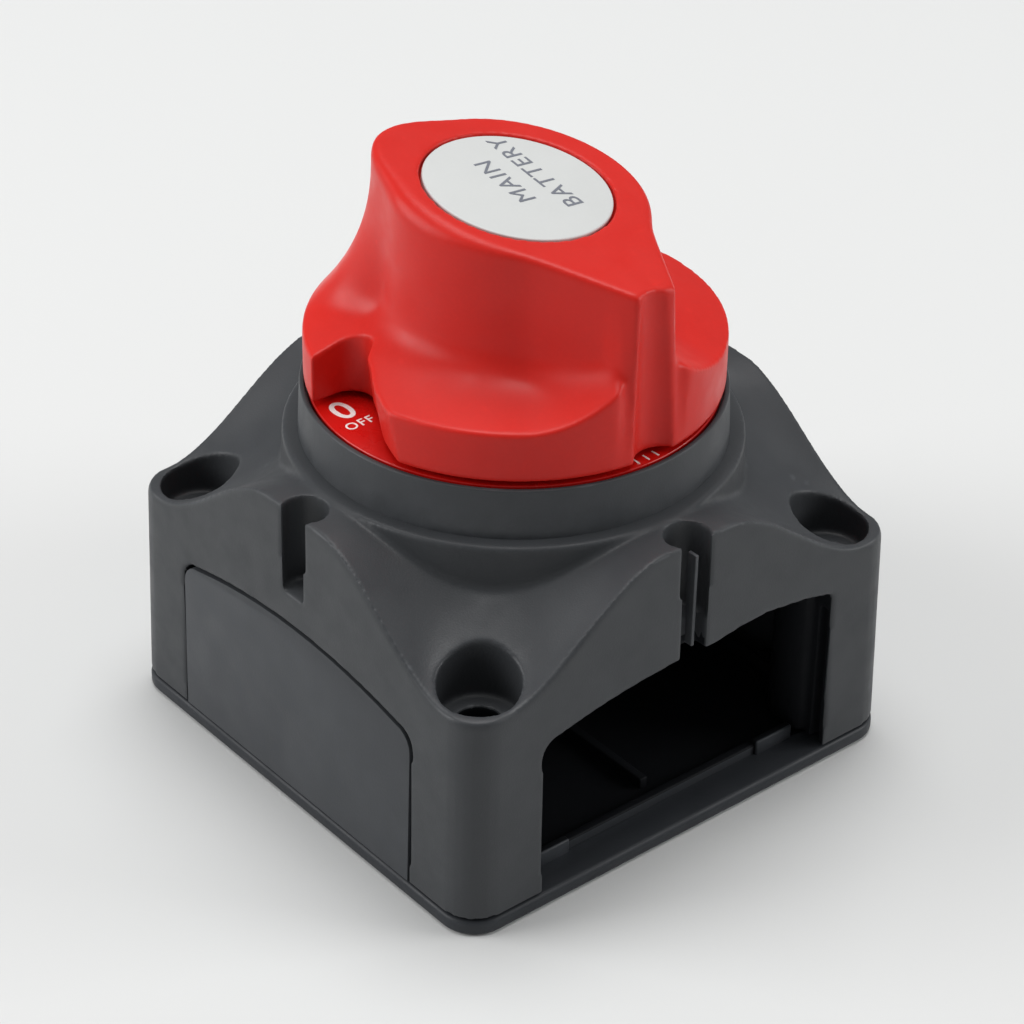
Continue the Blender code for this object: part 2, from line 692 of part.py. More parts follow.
def make_rotor():
    profile = [(0.0, SHAFT_TOP), (SHAFT_RADIUS, SHAFT_TOP), (SHAFT_RADIUS, ROTOR_TOP),
               (ROTOR_RADIUS, ROTOR_TOP), (ROTOR_RADIUS, ROTOR_BOTTOM), (0.0, ROTOR_BOTTOM)]
    rotor = turned("rotor", profile)
    join(rotor, box("drive_square", (-DRIVE_HALF, -DRIVE_HALF, SHAFT_TOP - OVERSHOOT),
                    (DRIVE_HALF, DRIVE_HALF, DRIVE_TOP)))
    cut(rotor, box("bar_slot", (-BAR_SLOT_HALF_LENGTH, -BAR_SLOT_HALF_WIDTH,
                                ROTOR_BOTTOM - OVERSHOOT),
                   (BAR_SLOT_HALF_LENGTH, BAR_SLOT_HALF_WIDTH, BAR_SLOT_TOP)))
    cut(rotor, cylinder("spring_pocket", (0.0, 0.0), SPRING_POCKET_RADIUS,
                        BAR_SLOT_TOP - OVERSHOOT, SPRING_POCKET_TOP, 24))
    cut(rotor, cylinder("rotor_screw_hole", (0.0, 0.0), KNOB_SCREW_RADIUS + GAP,
                        SCREW_HOLE_BOTTOM, DRIVE_TOP + OVERSHOOT, 16))
    for side in (-1, 1):
        cut(rotor, cylinder(f"ball_pocket_{side + 1}", (0.0, side * DETENT_PLACE),
                            BALL_POCKET_RADIUS, BALL_POCKET_BOTTOM, ROTOR_TOP + OVERSHOOT, 20))
    return as_part(rotor, "black")


def make_contact_bar():
    bar = box("contact_bar", (-BAR_HALF_LENGTH, -BAR_HALF_WIDTH, BAR_BOTTOM),
              (BAR_HALF_LENGTH, BAR_HALF_WIDTH, BAR_TOP))
    bevel = bar.modifiers.new("edges", "BEVEL")
    bevel.width = BAR_EDGE * MM
    bevel.segments = 1
    as_part(bar, "copper")
    as_part(coil("contact_spring", (0.0, 0.0), CONTACT_COIL_RADIUS, CONTACT_WIRE, BAR_TOP + GAP,
                 SPRING_POCKET_TOP - GAP, CONTACT_TURNS), "steel")


def make_ball(name, centre):
    bm = bmesh.new()
    bmesh.ops.create_uvsphere(bm, u_segments=14, v_segments=8, radius=BALL_RADIUS)
    bmesh.ops.translate(bm, vec=centre, verts=bm.verts)
    return as_part(object_from_bmesh(name, bm), "steel")


def make_detents():
    for number, side in enumerate((1, -1), 1):
        place = (0.0, side * DETENT_PLACE)
        make_ball(f"detent_ball_{number}", (*place, ROTOR_TOP))
        as_part(coil(f"detent_spring_{number}", place, DETENT_COIL_RADIUS, DETENT_WIRE,
                     DETENT_SPRING_BOTTOM, DETENT_SPRING_TOP, DETENT_TURNS), "steel")
    detent = ring("detent_ring", DETENT_RING_INNER, DETENT_RING_OUTER, DETENT_RING_BOTTOM,
                  DETENT_RING_TOP)
    for quarters in range(4):
        dimple = cylinder(f"dimple_{quarters}", (DETENT_PLACE, 0.0), DIMPLE_RADIUS,
                          DETENT_RING_BOTTOM - OVERSHOOT, DETENT_RING_TOP + OVERSHOOT, 16)
        turn_quarters(dimple, quarters)
        cut(detent, dimple)
    as_part(detent, "nylon")


# ---------------------------------------------------------------- terminal plate and studs

def make_terminal_plate():
    plate = cylinder("terminal_plate", (0.0, 0.0), PLATE_RADIUS, PLATE_BOTTOM, PLATE_TOP,
                     FINE_ROUND)
    join(plate, box("barrier", (-BARRIER_HALF_LENGTH, -BARRIER_HALF_WIDTH, BARRIER_BOTTOM),
                    (BARRIER_HALF_LENGTH, BARRIER_HALF_WIDTH, PLATE_TOP - OVERSHOOT)))
    for side in (-1, 1):
        cut(plate, cylinder(f"stud_hole_{side + 1}", (0.0, side * STUD_PLACE), STUD_RADIUS + GAP,
                            PLATE_BOTTOM - OVERSHOOT, PLATE_TOP + OVERSHOOT))
    for index, (side_x, side_y) in enumerate(corners()):
        place = (side_x * PLATE_SCREW_PLACE, side_y * PLATE_SCREW_PLACE)
        cut(plate, cylinder(f"plate_screw_hole_{index}", place, PLATE_SCREW_RADIUS + GAP,
                            PLATE_BOTTOM - OVERSHOOT, PLATE_TOP + OVERSHOOT, 12))
    return as_part(plate, "black")


def make_plate_screw(number, place):
    """A pan-head screw that points up, with its head under the terminal plate."""
    head_top = PLATE_BOTTOM - GAP
    head_bottom = head_top - PLATE_SCREW_HEAD_HEIGHT
    profile = [(0.0, PLATE_SCREW_TIP), (PLATE_SCREW_RADIUS, PLATE_SCREW_TIP - OVERSHOOT),
               (PLATE_SCREW_RADIUS, head_top), (PLATE_SCREW_HEAD_RADIUS, head_top),
               (PLATE_SCREW_HEAD_RADIUS, head_bottom + PLATE_SCREW_HEAD_DOME),
               (PLATE_SCREW_HEAD_RADIUS * HEAD_CROWN, head_bottom), (0.0, head_bottom)]
    screw = turned(f"plate_screw_{number}", profile, sides=16)
    screw.location = (place[0] * MM, place[1] * MM, 0.0)
    length, width, depth = PLATE_CROSS
    for name, half_x, half_y in (("x", length, width), ("y", width, length)):
        recess = box(f"cross_{number}_{name}", (-half_x, -half_y, head_bottom - OVERSHOOT),
                     (half_x, half_y, head_bottom + depth))
        recess.location = screw.location
        cut(screw, recess)
    return as_part(screw, "steel")


def make_stud(number, side):
    """A terminal stud: square contact head over the plate, threaded shank down into the cavity."""
    place = (0.0, side * STUD_PLACE)
    stud = box(f"stud_{number}",
               (-STUD_HEAD_HALF, place[1] - STUD_HEAD_HALF, PLATE_TOP + GAP),
               (STUD_HEAD_HALF, place[1] + STUD_HEAD_HALF, STUD_HEAD_TOP))
    shank = turned(f"shank_{number}",
                   [(0.0, STUD_HEAD_TOP - OVERSHOOT), (STUD_RADIUS, STUD_HEAD_TOP - OVERSHOOT),
                    (STUD_RADIUS, STUD_TIP + 1.0), (STUD_RADIUS - 1.0, STUD_TIP),
                    (0.0, STUD_TIP)])
    shank.location.y = place[1] * MM
    join(stud, shank)
    as_part(stud, "tinned")
    bore = STUD_RADIUS + GAP
    washer = ring(f"stud_washer_{number}", bore, WASHER_RADIUS, WASHER_BOTTOM, PLATE_BOTTOM - GAP)
    spring = ring(f"spring_washer_{number}", bore, SPRING_WASHER_RADIUS, SPRING_WASHER_BOTTOM,
                  SPRING_WASHER_TOP)
    nut = cylinder(f"stud_nut_{number}", (0.0, 0.0), NUT_RADIUS, NUT_BOTTOM, NUT_TOP, 6)
    split = box(f"split_{number}", (0.0, -SPRING_WASHER_SPLIT / 2, SPRING_WASHER_BOTTOM - OVERSHOOT),
                (WASHER_RADIUS, SPRING_WASHER_SPLIT / 2, SPRING_WASHER_TOP + OVERSHOOT))
    thread = cylinder(f"thread_{number}", (0.0, 0.0), bore, NUT_BOTTOM - OVERSHOOT,
                      NUT_TOP + OVERSHOOT)
    for piece in (washer, spring, nut, split, thread):
        piece.location.y += place[1] * MM
    cut(spring, split)
    cut(nut, thread)
    for piece in (washer, spring, nut):
        as_part(piece, "steel")


# ---------------------------------------------------------------- knob

def top_height(x, y):
    return KNOB_CENTRE_HEIGHT + KNOB_SLOPE[0] * x + KNOB_SLOPE[1] * y


def wrapped(angle):
    return (angle + math.pi) % math.tau - math.pi


def hump(angle, middle, spread):
    """1 at one angle, falling smoothly to 0 on both sides of it."""
    off = min(1.0, abs(wrapped(angle - middle)) / spread)
    return math.cos(off * math.pi / 2) ** 2


def body_reach(angle):
    """Outline of the knob's top face: a circle drawn out to a pointer, with a bulge at the heel."""
    angle = wrapped(angle)
    body = BODY_RADIUS + HEEL_BULGE * hump(angle, HEEL_ANGLE, HEEL_SPREAD)
    body -= FRONT_FLAT * hump(angle, FRONT_ANGLE, FRONT_SPREAD)
    offset = FRONT_FLANK_OFFSET if angle < 0 else REAR_FLANK_OFFSET
    flank = offset / math.cos(max(0.0, POINTER_FLANK - abs(angle)))
    reach = (body ** FLANK_BLEND + flank ** FLANK_BLEND) ** (1.0 / FLANK_BLEND)
    if abs(angle) < POINTER_FLANK:
        reach = min(reach, POINTER_REACH / math.cos(angle))
    return reach


def fading(angle, start, end):
    """1 near the pointer and 0 away from it, changing between two angles in degrees."""
    return 1.0 - smoothstep((math.degrees(abs(angle)) - start) / (end - start))


def rim_height(angle):
    """Height of the skirt's rim, which climbs beside the pointer."""
    rim, climb = (FRONT_RIM, FRONT_RIM_CLIMB) if angle < 0 else (REAR_RIM, REAR_RIM_CLIMB)
    return rim + climb * fading(angle, RIM_CLIMB_START, RIM_CLIMB_END)


def scoop_share(angle):
    """1 where a finger scoop bites into the knob, 0 at the heel."""
    return fading(angle, SCOOP_END, SCOOP_END + SCOOP_RUN_OUT)


def flare(angle, share):
    """How far the skirt's width carries on at a share of the way from the rim to the top."""
    scooped = scoop_share(angle)
    scoop = (1.0 - share) ** SCOOP_POWER
    heel = (1.0 - share) ** HEEL_POWER
    return scooped * scoop + (1.0 - scooped) * heel


def knob_angles():
    """Directions for the knob's rings, closer together round the pointer."""
    half = list(POINTER_DEGREES)
    while half[-1] < 180.0 - BODY_STEP / 2:
        half.append(half[-1] + BODY_STEP)
    full = half + [-angle for angle in reversed(half[1:-1])]
    return [math.radians(angle) for angle in full]


def knob_rings():
    angles = knob_angles()
    rings = [[(KNOB_RADIUS - KNOB_CHAMFER, KNOB_BOTTOM)] * len(angles),
             [(KNOB_RADIUS, KNOB_BOTTOM + KNOB_CHAMFER)] * len(angles)]
    for share in SIDE_SHARES:
        rings.append([knob_point(angle, share) for angle in angles])
    for inset, drop in ((0.0, TOP_EDGE), (TOP_EDGE, 0.0)):
        row = []
        for angle in angles:
            reach = body_reach(angle) - inset
            height = top_height(reach * math.cos(angle), reach * math.sin(angle))
            row.append((reach, height - drop))
        rings.append(row)
    return angles, rings


def knob_point(angle, share):
    reach = body_reach(angle)
    top = top_height(reach * math.cos(angle), reach * math.sin(angle)) - TOP_EDGE
    rim = rim_height(angle)
    height = rim + share * (top - rim)
    leaning = (top - height) / (top - KNOB_BOTTOM)
    pointed = fading(angle, POINTER_END, POINTER_BLEND_END)
    spread = pointed * leaning + (1.0 - pointed) * flare(angle, share)
    return reach + (KNOB_RADIUS - reach) * spread, height


def window_outline():
    """Plan of the reading window over the dial: a straight left wall and a flared right one."""
    back = arc((WINDOW_LEFT + WINDOW_CORNER, WINDOW_BACK), WINDOW_CORNER, 180.0, 70.0, 5)
    return [(WINDOW_LEFT, WINDOW_MOUTH), *back, *WINDOW_FLARE]


def tilt_to_top(piece):
    """Lay an object made about the origin on the knob's sloping top face."""
    normal = Vector((-KNOB_SLOPE[0], -KNOB_SLOPE[1], 1.0))
    lean = Vector((0.0, 0.0, 1.0)).rotation_difference(normal).to_matrix().to_4x4()
    piece.matrix_world = Matrix.Translation((0, 0, KNOB_CENTRE_HEIGHT * MM)) @ lean


def make_knob():
    knob = lofted("knob", *knob_rings())
    cut(knob, cylinder("channel", (CHANNEL_PLACE, 0.0), CHANNEL_RADIUS, KNOB_BOTTOM - OVERSHOOT,
                       KNOB_CENTRE_HEIGHT + OVERSHOOT, 24))
    cut(knob, prism("window", window_outline(), KNOB_BOTTOM - OVERSHOOT, WINDOW_TOP))
    below = KNOB_BOTTOM - OVERSHOOT
    hollow = [(KNOB_HOLLOW_INNER, KNOB_HOLLOW_OUTER[0][1]), *KNOB_HOLLOW_OUTER,
              (KNOB_HOLLOW_OUTER[-1][0], below), (KNOB_HOLLOW_INNER, below)]
    cut(knob, turned("knob_hollow", hollow, True))
    socket = DRIVE_HALF + GAP
    cut(knob, box("socket", (-socket, -socket, below), (socket, socket, SOCKET_TOP)))
    cut(knob, cylinder("socket_mouth", (0.0, 0.0), SHAFT_RADIUS + GAP, below, SHAFT_TOP + GAP))
    cut(knob, cylinder("knob_screw_hole", (0.0, 0.0), KNOB_SCREW_RADIUS + GAP,
                       SOCKET_TOP - OVERSHOOT, HEAD_POCKET_FLOOR + OVERSHOOT, 16))
    cut(knob, cylinder("head_pocket", (0.0, 0.0), HEAD_POCKET_RADIUS, HEAD_POCKET_FLOOR,
                       KNOB_CENTRE_HEIGHT, 24))
    recess = cylinder("label_recess", (0.0, 0.0), LABEL_RADIUS + GAP, -LABEL_RECESS,
                      3 * OVERSHOOT, 48)
    tilt_to_top(recess)
    cut(knob, recess)
    return as_part(knob, "knob_red")


def make_knob_fittings():
    bottom = GAP - LABEL_RECESS
    label = cylinder("label_disc", (0.0, 0.0), LABEL_RADIUS, bottom, bottom + LABEL_THICKNESS, 48)
    tilt_to_top(label)
    as_part(label, "label_white")
    washer_bottom = HEAD_POCKET_FLOOR + GAP
    as_part(ring("knob_washer", KNOB_SCREW_RADIUS + GAP, KNOB_WASHER_RADIUS, washer_bottom,
                 KNOB_WASHER_TOP, 24), "steel")
    head_bottom = KNOB_WASHER_TOP + GAP
    crown = KNOB_SCREW_HEAD_RADIUS * HEAD_CROWN
    profile = [(0.0, KNOB_SCREW_HEAD_TOP), (crown, KNOB_SCREW_HEAD_TOP),
               (KNOB_SCREW_HEAD_RADIUS, KNOB_SCREW_HEAD_TOP - OVERSHOOT),
               (KNOB_SCREW_HEAD_RADIUS, head_bottom), (KNOB_SCREW_RADIUS, head_bottom),
               (KNOB_SCREW_RADIUS, KNOB_SCREW_TIP + OVERSHOOT), (0.0, KNOB_SCREW_TIP)]
    screw = turned("knob_screw", profile, sides=24)
    length, width, depth = KNOB_CROSS
    for name, half_x, half_y in (("x", length, width), ("y", width, length)):
        cut(screw, box(f"knob_cross_{name}", (-half_x, -half_y, KNOB_SCREW_HEAD_TOP - depth),
                       (half_x, half_y, KNOB_SCREW_HEAD_TOP + OVERSHOOT)))
    as_part(screw, "steel")


# ---------------------------------------------------------------- assembly

def build():
    global parts, cutters
    clear_scene()
    parts = new_collection("battery_switch")
    cutters = new_collection("cutters")
    make_housing()
    make_base_plate()
    for name, quarters in (("cable_cover_right", 1), ("cable_cover_rear", 2),
                           ("cable_cover_left", 3)):
        make_cable_cover(name, quarters)
    make_dial_parts()
    make_rotor()
    make_contact_bar()
    make_detents()
    make_terminal_plate()
    for number, (side_x, side_y) in enumerate(corners(), 1):
        make_plate_screw(number, (side_x * PLATE_SCREW_PLACE, side_y * PLATE_SCREW_PLACE))
    for number, side in ((1, 1), (2, -1)):
        make_stud(number, side)
    make_knob()
    make_knob_fittings()


build()
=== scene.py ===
"""Looks of the battery isolator switch: moulded plastics, printed dial and metal fittings.

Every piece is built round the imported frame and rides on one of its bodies. Shapes are given in
millimetres in the frame's axes and are scaled to metres where the meshes are made.
"""
import json
import math

import bmesh
import bpy
from mathutils import Matrix, Vector

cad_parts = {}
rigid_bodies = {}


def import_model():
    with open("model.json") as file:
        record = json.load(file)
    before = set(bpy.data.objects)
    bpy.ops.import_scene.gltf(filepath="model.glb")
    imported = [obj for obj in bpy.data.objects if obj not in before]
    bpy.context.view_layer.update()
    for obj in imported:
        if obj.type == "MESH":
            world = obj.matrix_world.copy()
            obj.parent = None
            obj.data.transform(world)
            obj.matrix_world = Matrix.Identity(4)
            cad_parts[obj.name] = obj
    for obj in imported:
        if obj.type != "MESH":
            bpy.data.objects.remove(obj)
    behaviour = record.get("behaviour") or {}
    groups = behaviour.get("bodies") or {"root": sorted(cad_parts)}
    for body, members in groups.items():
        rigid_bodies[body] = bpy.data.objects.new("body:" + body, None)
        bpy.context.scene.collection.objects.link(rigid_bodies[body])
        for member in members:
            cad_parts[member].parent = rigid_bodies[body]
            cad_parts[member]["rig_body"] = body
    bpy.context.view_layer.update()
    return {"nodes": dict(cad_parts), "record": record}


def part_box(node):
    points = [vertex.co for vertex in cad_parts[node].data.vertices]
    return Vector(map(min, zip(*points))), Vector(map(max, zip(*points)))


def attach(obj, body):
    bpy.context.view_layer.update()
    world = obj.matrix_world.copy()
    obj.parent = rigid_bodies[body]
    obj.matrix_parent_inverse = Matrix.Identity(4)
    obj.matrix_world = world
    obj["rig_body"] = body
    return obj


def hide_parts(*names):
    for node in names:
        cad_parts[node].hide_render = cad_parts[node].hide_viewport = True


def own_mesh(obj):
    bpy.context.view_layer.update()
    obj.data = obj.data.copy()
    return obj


MM = 0.001
GAP = 0.3                       # between pieces that fit together
OVERSHOOT = 1.0                 # how far a tool runs past what it cuts
MERGE_DISTANCE = 0.0005

# camera: place and nearest distance in metres, lens and sensor in millimetres
CAMERA_PLACE = (0.25714, -0.21614, 0.24914)
CAMERA_BACK = (0.6402, -0.5381, 0.5483)
CAMERA_ROLL = math.radians(1.08)
CAMERA_LENS = 114.7
CAMERA_SENSOR = 36.0
CAMERA_CLIP = 0.01

# softboxes: place and width in metres, power in watts
LIGHTS = {"left": ((-0.55, -0.75, 0.45), 0.6, 6.6),
          "right": ((0.65, 0.75, 0.40), 0.5, 4.4),
          "top": ((-0.15, 0.15, 1.1), 0.8, 9.5)}
LIGHT_TARGET = (0.0, 0.0, 0.035)
WORLD_COLOUR = (0.95, 0.96, 0.97, 1.0)
WORLD_STRENGTH = 0.22
FLOOR_COLOUR = (0.69, 0.695, 0.69, 1.0)
FLOOR_HALF = 4000.0             # millimetres
FLOOR_DROP = 0.0001             # metres below the base, so that the two don't coincide

# housing
BASE_HALF = 34.0
CORNER_RADIUS = 4.7
HOUSING_BOTTOM = 2.4
DRAFT = 0.02
SHOULDER_HEIGHT = 30.0
FACE_RISE = 12.0
FACE_CREST_HALF = 5.0
FACE_SLOPE_WIDTH = 24.0
PLINTH_RADIUS = 28.0
PLINTH_DRAFT = 0.2
LEDGE_HEIGHT = 42.25
LEDGE_GROOVE = 0.15
SHELL_ANGLES = 288
WALL_SHARES = (0.0, 0.25, 0.5, 0.75, 0.9, 0.975)
SWEEP_STEPS = (0.0, 0.985, 16)  # first and last share, and the number of steps
DIAGONAL_DROP = 5.5
DIAGONAL_POWER = 1.3
SWEEP_POWER = 1.58
COLLAR_FOOT_RADIUS = 26.1
COLLAR_RADIUS = 25.8
COLLAR_TOP = 48.6
COLLAR_SINK = 0.05              # how far the collar's foot goes into the shell
CAVITY_HALF = 31.2
CAVITY_TOP = 27.5
MOUNT_PLACE = 27.4
MOUNT_HOLE_RADIUS = 2.7
COUNTERBORE_RADIUS = 4.9
COUNTERBORE_FLOOR = 25.8
PILLAR_RADIUS = 5.8
CHAMBER_RADIUS = 25.0
CHAMBER_STEP = 39.8
CHAMBER_UPPER_RADIUS = 23.5
ROOF_BOTTOM = 44.7
ROOF_TOP = 47.5
DIAL_SEAT_RADIUS = 25.2
SEAL_SEAT_RADIUS = 8.9
SEAL_SEAT_FLOOR = 45.6
SHAFT_HOLE_RADIUS = 6.3
OPENING_HALF = 22.8
OPENING_CORNER = 2.7
OPENING_SPRING = 23.9
OPENING_RISE = 2.3
ARCH_STEPS = 16                 # in each half of an opening's arch
OPEN_CORNER = ((2.6, 26.1), (7.9, 26.8), (11.9, 27.0), (18.5, 26.1), (22.8, 25.0))
SLOT_HALF_WIDTH = 1.95
SLOT_HOLE_RADIUS = 2.8
SLOT_HOLE_PLACE = 31.3
SLOT_BOTTOM = 30.5
OPEN_SLOT_BOTTOM = 25.0
SLOT_RIB_PLACE = 0.55
SLOT_RIB_SIZE = (1.1, 0.5)      # how far it stands out, and its thickness
SLOT_RIB_FOOT = 1.5             # above the slot's bottom
SLOT_RIB_HEAD = 3.0             # below the ledge
GROOVE_PLACE = 31.6             # outward place of the groove in an opening's jambs
GROOVE_WIDTH = 1.3
GROOVE_DEPTH = 1.6
GROOVE_TOP = 22.5
INNER_DEPTH = 0.3               # how far the outer plastic turns in at an edge before the painted shade starts

# knob
KNOB_RADIUS = 25.3
KNOB_BOTTOM = 49.3
KNOB_CENTRE_HEIGHT = 74.0
KNOB_SLOPE = (-0.148, -0.098)
BODY_RADIUS = 15.5
POINTER_REACH = 24.0
POINTER_FLANK = math.radians(60.7)
FRONT_FLANK_OFFSET = 13.9
REAR_FLANK_OFFSET = 14.6
FLANK_BLEND = 36.0              # how tightly a flank turns into the round body
FRONT_ANGLE = math.radians(-60.0)
FRONT_SPREAD = math.radians(60.0)
FRONT_FLAT = 0.7                # how much the body is pared away at the front
POINTER_END = 7.6
POINTER_BLEND_END = 12.6
HEEL_ANGLE = math.radians(-153.0)
HEEL_SPREAD = math.radians(40.0)
HEEL_BULGE = 2.5
FRONT_RIM = 55.7
REAR_RIM = 56.0
SCOOP_POWER = 11.0
HEEL_POWER = 2.4
SCOOP_END = 118.0
SCOOP_RUN_OUT = 24.0
FRONT_RIM_CLIMB = 4.2
REAR_RIM_CLIMB = 3.5
RIM_CLIMB_START = 11.0
RIM_CLIMB_END = 38.0
KNOB_ANGLES = 240
LOWER_SIDE_STEPS = (0.0, 0.3, 18)
UPPER_SIDE_STEPS = (0.34, 0.97, 12)
TOP_EDGE_STEPS = 8
TOP_EDGE = 0.8
BROAD_EDGE = 1.8                # extra radius of the top edge along the front
BROAD_EDGE_ANGLE = math.radians(-95.0)
BROAD_EDGE_SPREAD = math.radians(62.0)
CHANNEL_RADIUS = 3.6
CHANNEL_PLACE = 27.0
WINDOW_TOP = 62.5
WINDOW_LEFT = -8.4
WINDOW_CORNER = 2.8
WINDOW_BACK = -20.3
WINDOW_BACK_ARC = (180.0, 70.0, 12)     # first and last angle in degrees, and steps
WINDOW_FLARE = ((0.2, -20.3), (1.6, -21.3), (3.6, -22.4), (6.0, -23.3), (8.8, -24.1),
                (12.0, -24.6))
WINDOW_MOUTH = -28.0
WINDOW_LEAN = 0.16              # how far the flared wall leans in, mm per mm of height
KNOB_HOLLOW_INNER = 8.2
KNOB_HOLLOW_OUTER = ((11.0, 67.0), (12.0, 63.0), (16.0, 57.0))     # radius, height
SOCKET_HALF = 4.3
SOCKET_TOP = 63.4
SHAFT_TOP = 50.6
SHAFT_RADIUS = 5.9
KNOB_SCREW_HOLE_RADIUS = 1.9
HEAD_POCKET_FLOOR = 65.7
HEAD_POCKET_RADIUS = 4.2
LABEL_RADIUS = 11.3
LABEL_RECESS = 1.2
LABEL_THICKNESS = 0.8

# print
PRINT_RAISE = 0.02
LABEL_LINES = (("label_line_1", "MAIN", (-1.5, -0.8)), ("label_line_2", "BATTERY", (-1.9, 4.0)))
LABEL_TEXT = (3.5, 0.0, 1.12)   # height, added weight, spacing
DIAL_HOLE_RADIUS = 7.2
DIAL_POSITIONS = ((0, "0", "OFF"), (-90, "1", "ON"))    # turn in degrees, number and word
DIAL_NUMBER = (5.4, 0.06, (-6.0, -21.3))                # height, added weight, place
DIAL_WORD = (2.0, 0.02, (-2.5, -21.4))
DIAL_TEXT_SPACING = 1.2
DIAL_TICK = (23.2, 24.4, 0.12)  # inner and outer end, half width
DIAL_TICK_DEGREES = (86.5, 90.0, 93.5)

# base plate
BASE_THICKNESS = 2.0
RAIL_OUTER = 29.4
RAIL_WIDTH = 1.2
RAIL_HALF_LENGTH = 19.4
RAIL_TOP = 3.4
HOOK_PLACE = 18.2
HOOK_WIDTH = 6.0
HOOK_REACH = 0.5                # how far a hook stands out from its rail
RIB_HALF_LENGTH = 26.0
RIB_HALF_WIDTH = 0.6
RIB_TOP = 3.4

# works and fasteners
ROTOR_TOP = 41.0
DRIVE_HALF = 4.0
BAR_SLOT = (18.4, 5.4, 38.8)    # half length, half width, top
SPRING_POCKET_RADIUS = 4.3
SPRING_POCKET_TOP = 44.0
SCREW_HOLE_BOTTOM = 52.0
DETENT_PLACE = 14.0
BALL_POCKET_RADIUS = 2.5
BALL_POCKET_BOTTOM = 35.9
DETENT_RING_INNER = 10.2
DIMPLE_RADIUS = 1.6
DETENT_WIRE = 0.3
DETENT_TURNS = 3.0
COIL_STEPS = 36                 # in one turn
WIRE_SIDES = 12
CONTACT_WIRE = 0.45
CONTACT_TURNS = 4.0
PLATE_BOTTOM = 27.8
BARRIER = (9.0, 0.9)            # half length, half width
PLATE_SCREW_RADIUS = 1.2
PLATE_SCREW_HEAD = 1.9
PLATE_SCREW_PITCH = 0.7
PLATE_SCREW_CROSS = (1.6, 0.35) # half length and half width of its recess
KNOB_SCREW_RADIUS = 1.6
KNOB_SCREW_PITCH = 0.8
KNOB_SCREW_CROSS = (2.0, 0.5)
KNOB_SCREW_CROSS_DEPTH = 1.5
STUD_RADIUS = 4.8
STUD_PITCH = 1.5
STUD_BORE = 5.1
STUD_HEAD_BOTTOM = 31.3
SPRING_WASHER_RADIUS = 8.2
SPRING_WASHER_SPLIT = 1.2
SPRING_WASHER_RISE = 0.35
SPRING_WASHER_STEPS = 72
COUNTERSINK = 0.5
THREAD_DEPTH = 0.55             # as a share of the pitch
THREAD_STEEPNESS = 1.25         # above 1, the root is flat
THREAD_ROWS = 8                 # rows of points in one pitch
FULL_SECTION = (0.0, 345.0, 23) # first and last angle in degrees, and steps

# radii of moulded and turned edges; a pair is for the lower and the upper edge
COLLAR_EDGE = 0.3
SEAT_EDGE = 0.15
SEAL_SEAT_EDGE = 0.2
SLOT_RIB_EDGE = 0.12
KNOB_FOOT_EDGE = 0.3
LABEL_EDGES = (0.1, 0.25)
DIAL_EDGES = (0.1, 0.2)
WASHER_EDGE = 0.15
BUSH_EDGE = 0.3
STUD_EDGE = 0.4
PLATE_SCREW_EDGES = (1.3, 0.2)
KNOB_SCREW_EDGES = (0.2, 1.5)
ROTOR_EDGE = 0.5
SHAFT_FOOT_EDGE = 0.6
DRIVE_EDGE = 0.4
TERMINAL_PLATE_EDGE = 0.4
BARRIER_EDGE = 0.35
BASE_EDGE = 0.55
RAIL_EDGE = 0.25
RIB_EDGE = 0.2
CLEANED_EDGES = {"contact_bar": 0.3, "cable_cover_left": 0.35, "cable_cover_rear": 0.35,
                 "cable_cover_right": 0.35}

# voxel size, rounds of relaxing and the share of faces kept
SHELL_SOFTNESS = (0.3, 5, 0.4)
KNOB_SOFTNESS = (0.25, 12, 0.5)

# materials: sizes of their features in millimetres, and factors on their colour
CLOUD_SIZE = 11.0
RIPPLE_SIZE = 9.0
TARNISH_SIZE = 5.0
GLOSS_SIZE = 4.0
WEAR_SIZE = 2.0
SCRATCH_SIZE = 0.8
RUBBED_TINT = 2.2
TARNISHED_TINT = 0.55
GLOW_RADIUS = (1.0, 0.25, 0.15)
GLOW_DEPTH = 1.2


# ---- mesh helpers

def link(piece):
    bpy.context.scene.collection.objects.link(piece)
    return piece


def from_bmesh(name, bm):
    """An object from a bmesh in millimetres."""
    bmesh.ops.remove_doubles(bm, verts=bm.verts, dist=MERGE_DISTANCE)
    bmesh.ops.recalc_face_normals(bm, faces=bm.faces)
    bmesh.ops.scale(bm, vec=(MM, MM, MM), verts=bm.verts)
    mesh = bpy.data.meshes.new(name)
    bm.to_mesh(mesh)
    bm.free()
    return link(bpy.data.objects.new(name, mesh))


def polar(radius, angle, height):
    return radius * math.cos(angle), radius * math.sin(angle), height


def round_angles(count):
    return [math.tau * step / count for step in range(count)]


def swept(name, sections):
    """A solid through sections, each a closed loop of the same number of points."""
    bm = bmesh.new()
    loops = [[bm.verts.new(point) for point in section] for section in sections]
    for first, second in zip(loops, loops[1:]):
        for index in range(len(first)):
            after = (index + 1) % len(first)
            bm.faces.new((first[index], first[after], second[after], second[index]))
    bm.faces.new(list(reversed(loops[0])))
    bm.faces.new(loops[-1])
    return from_bmesh(name, bm)


def lofted(name, angles, rings):
    """A closed solid through rings of (radius, height) points, with flat ends."""
    return swept(name, [[polar(radius, angle, height) for angle, (radius, height) in zip(angles, row)]
                        for row in rings])


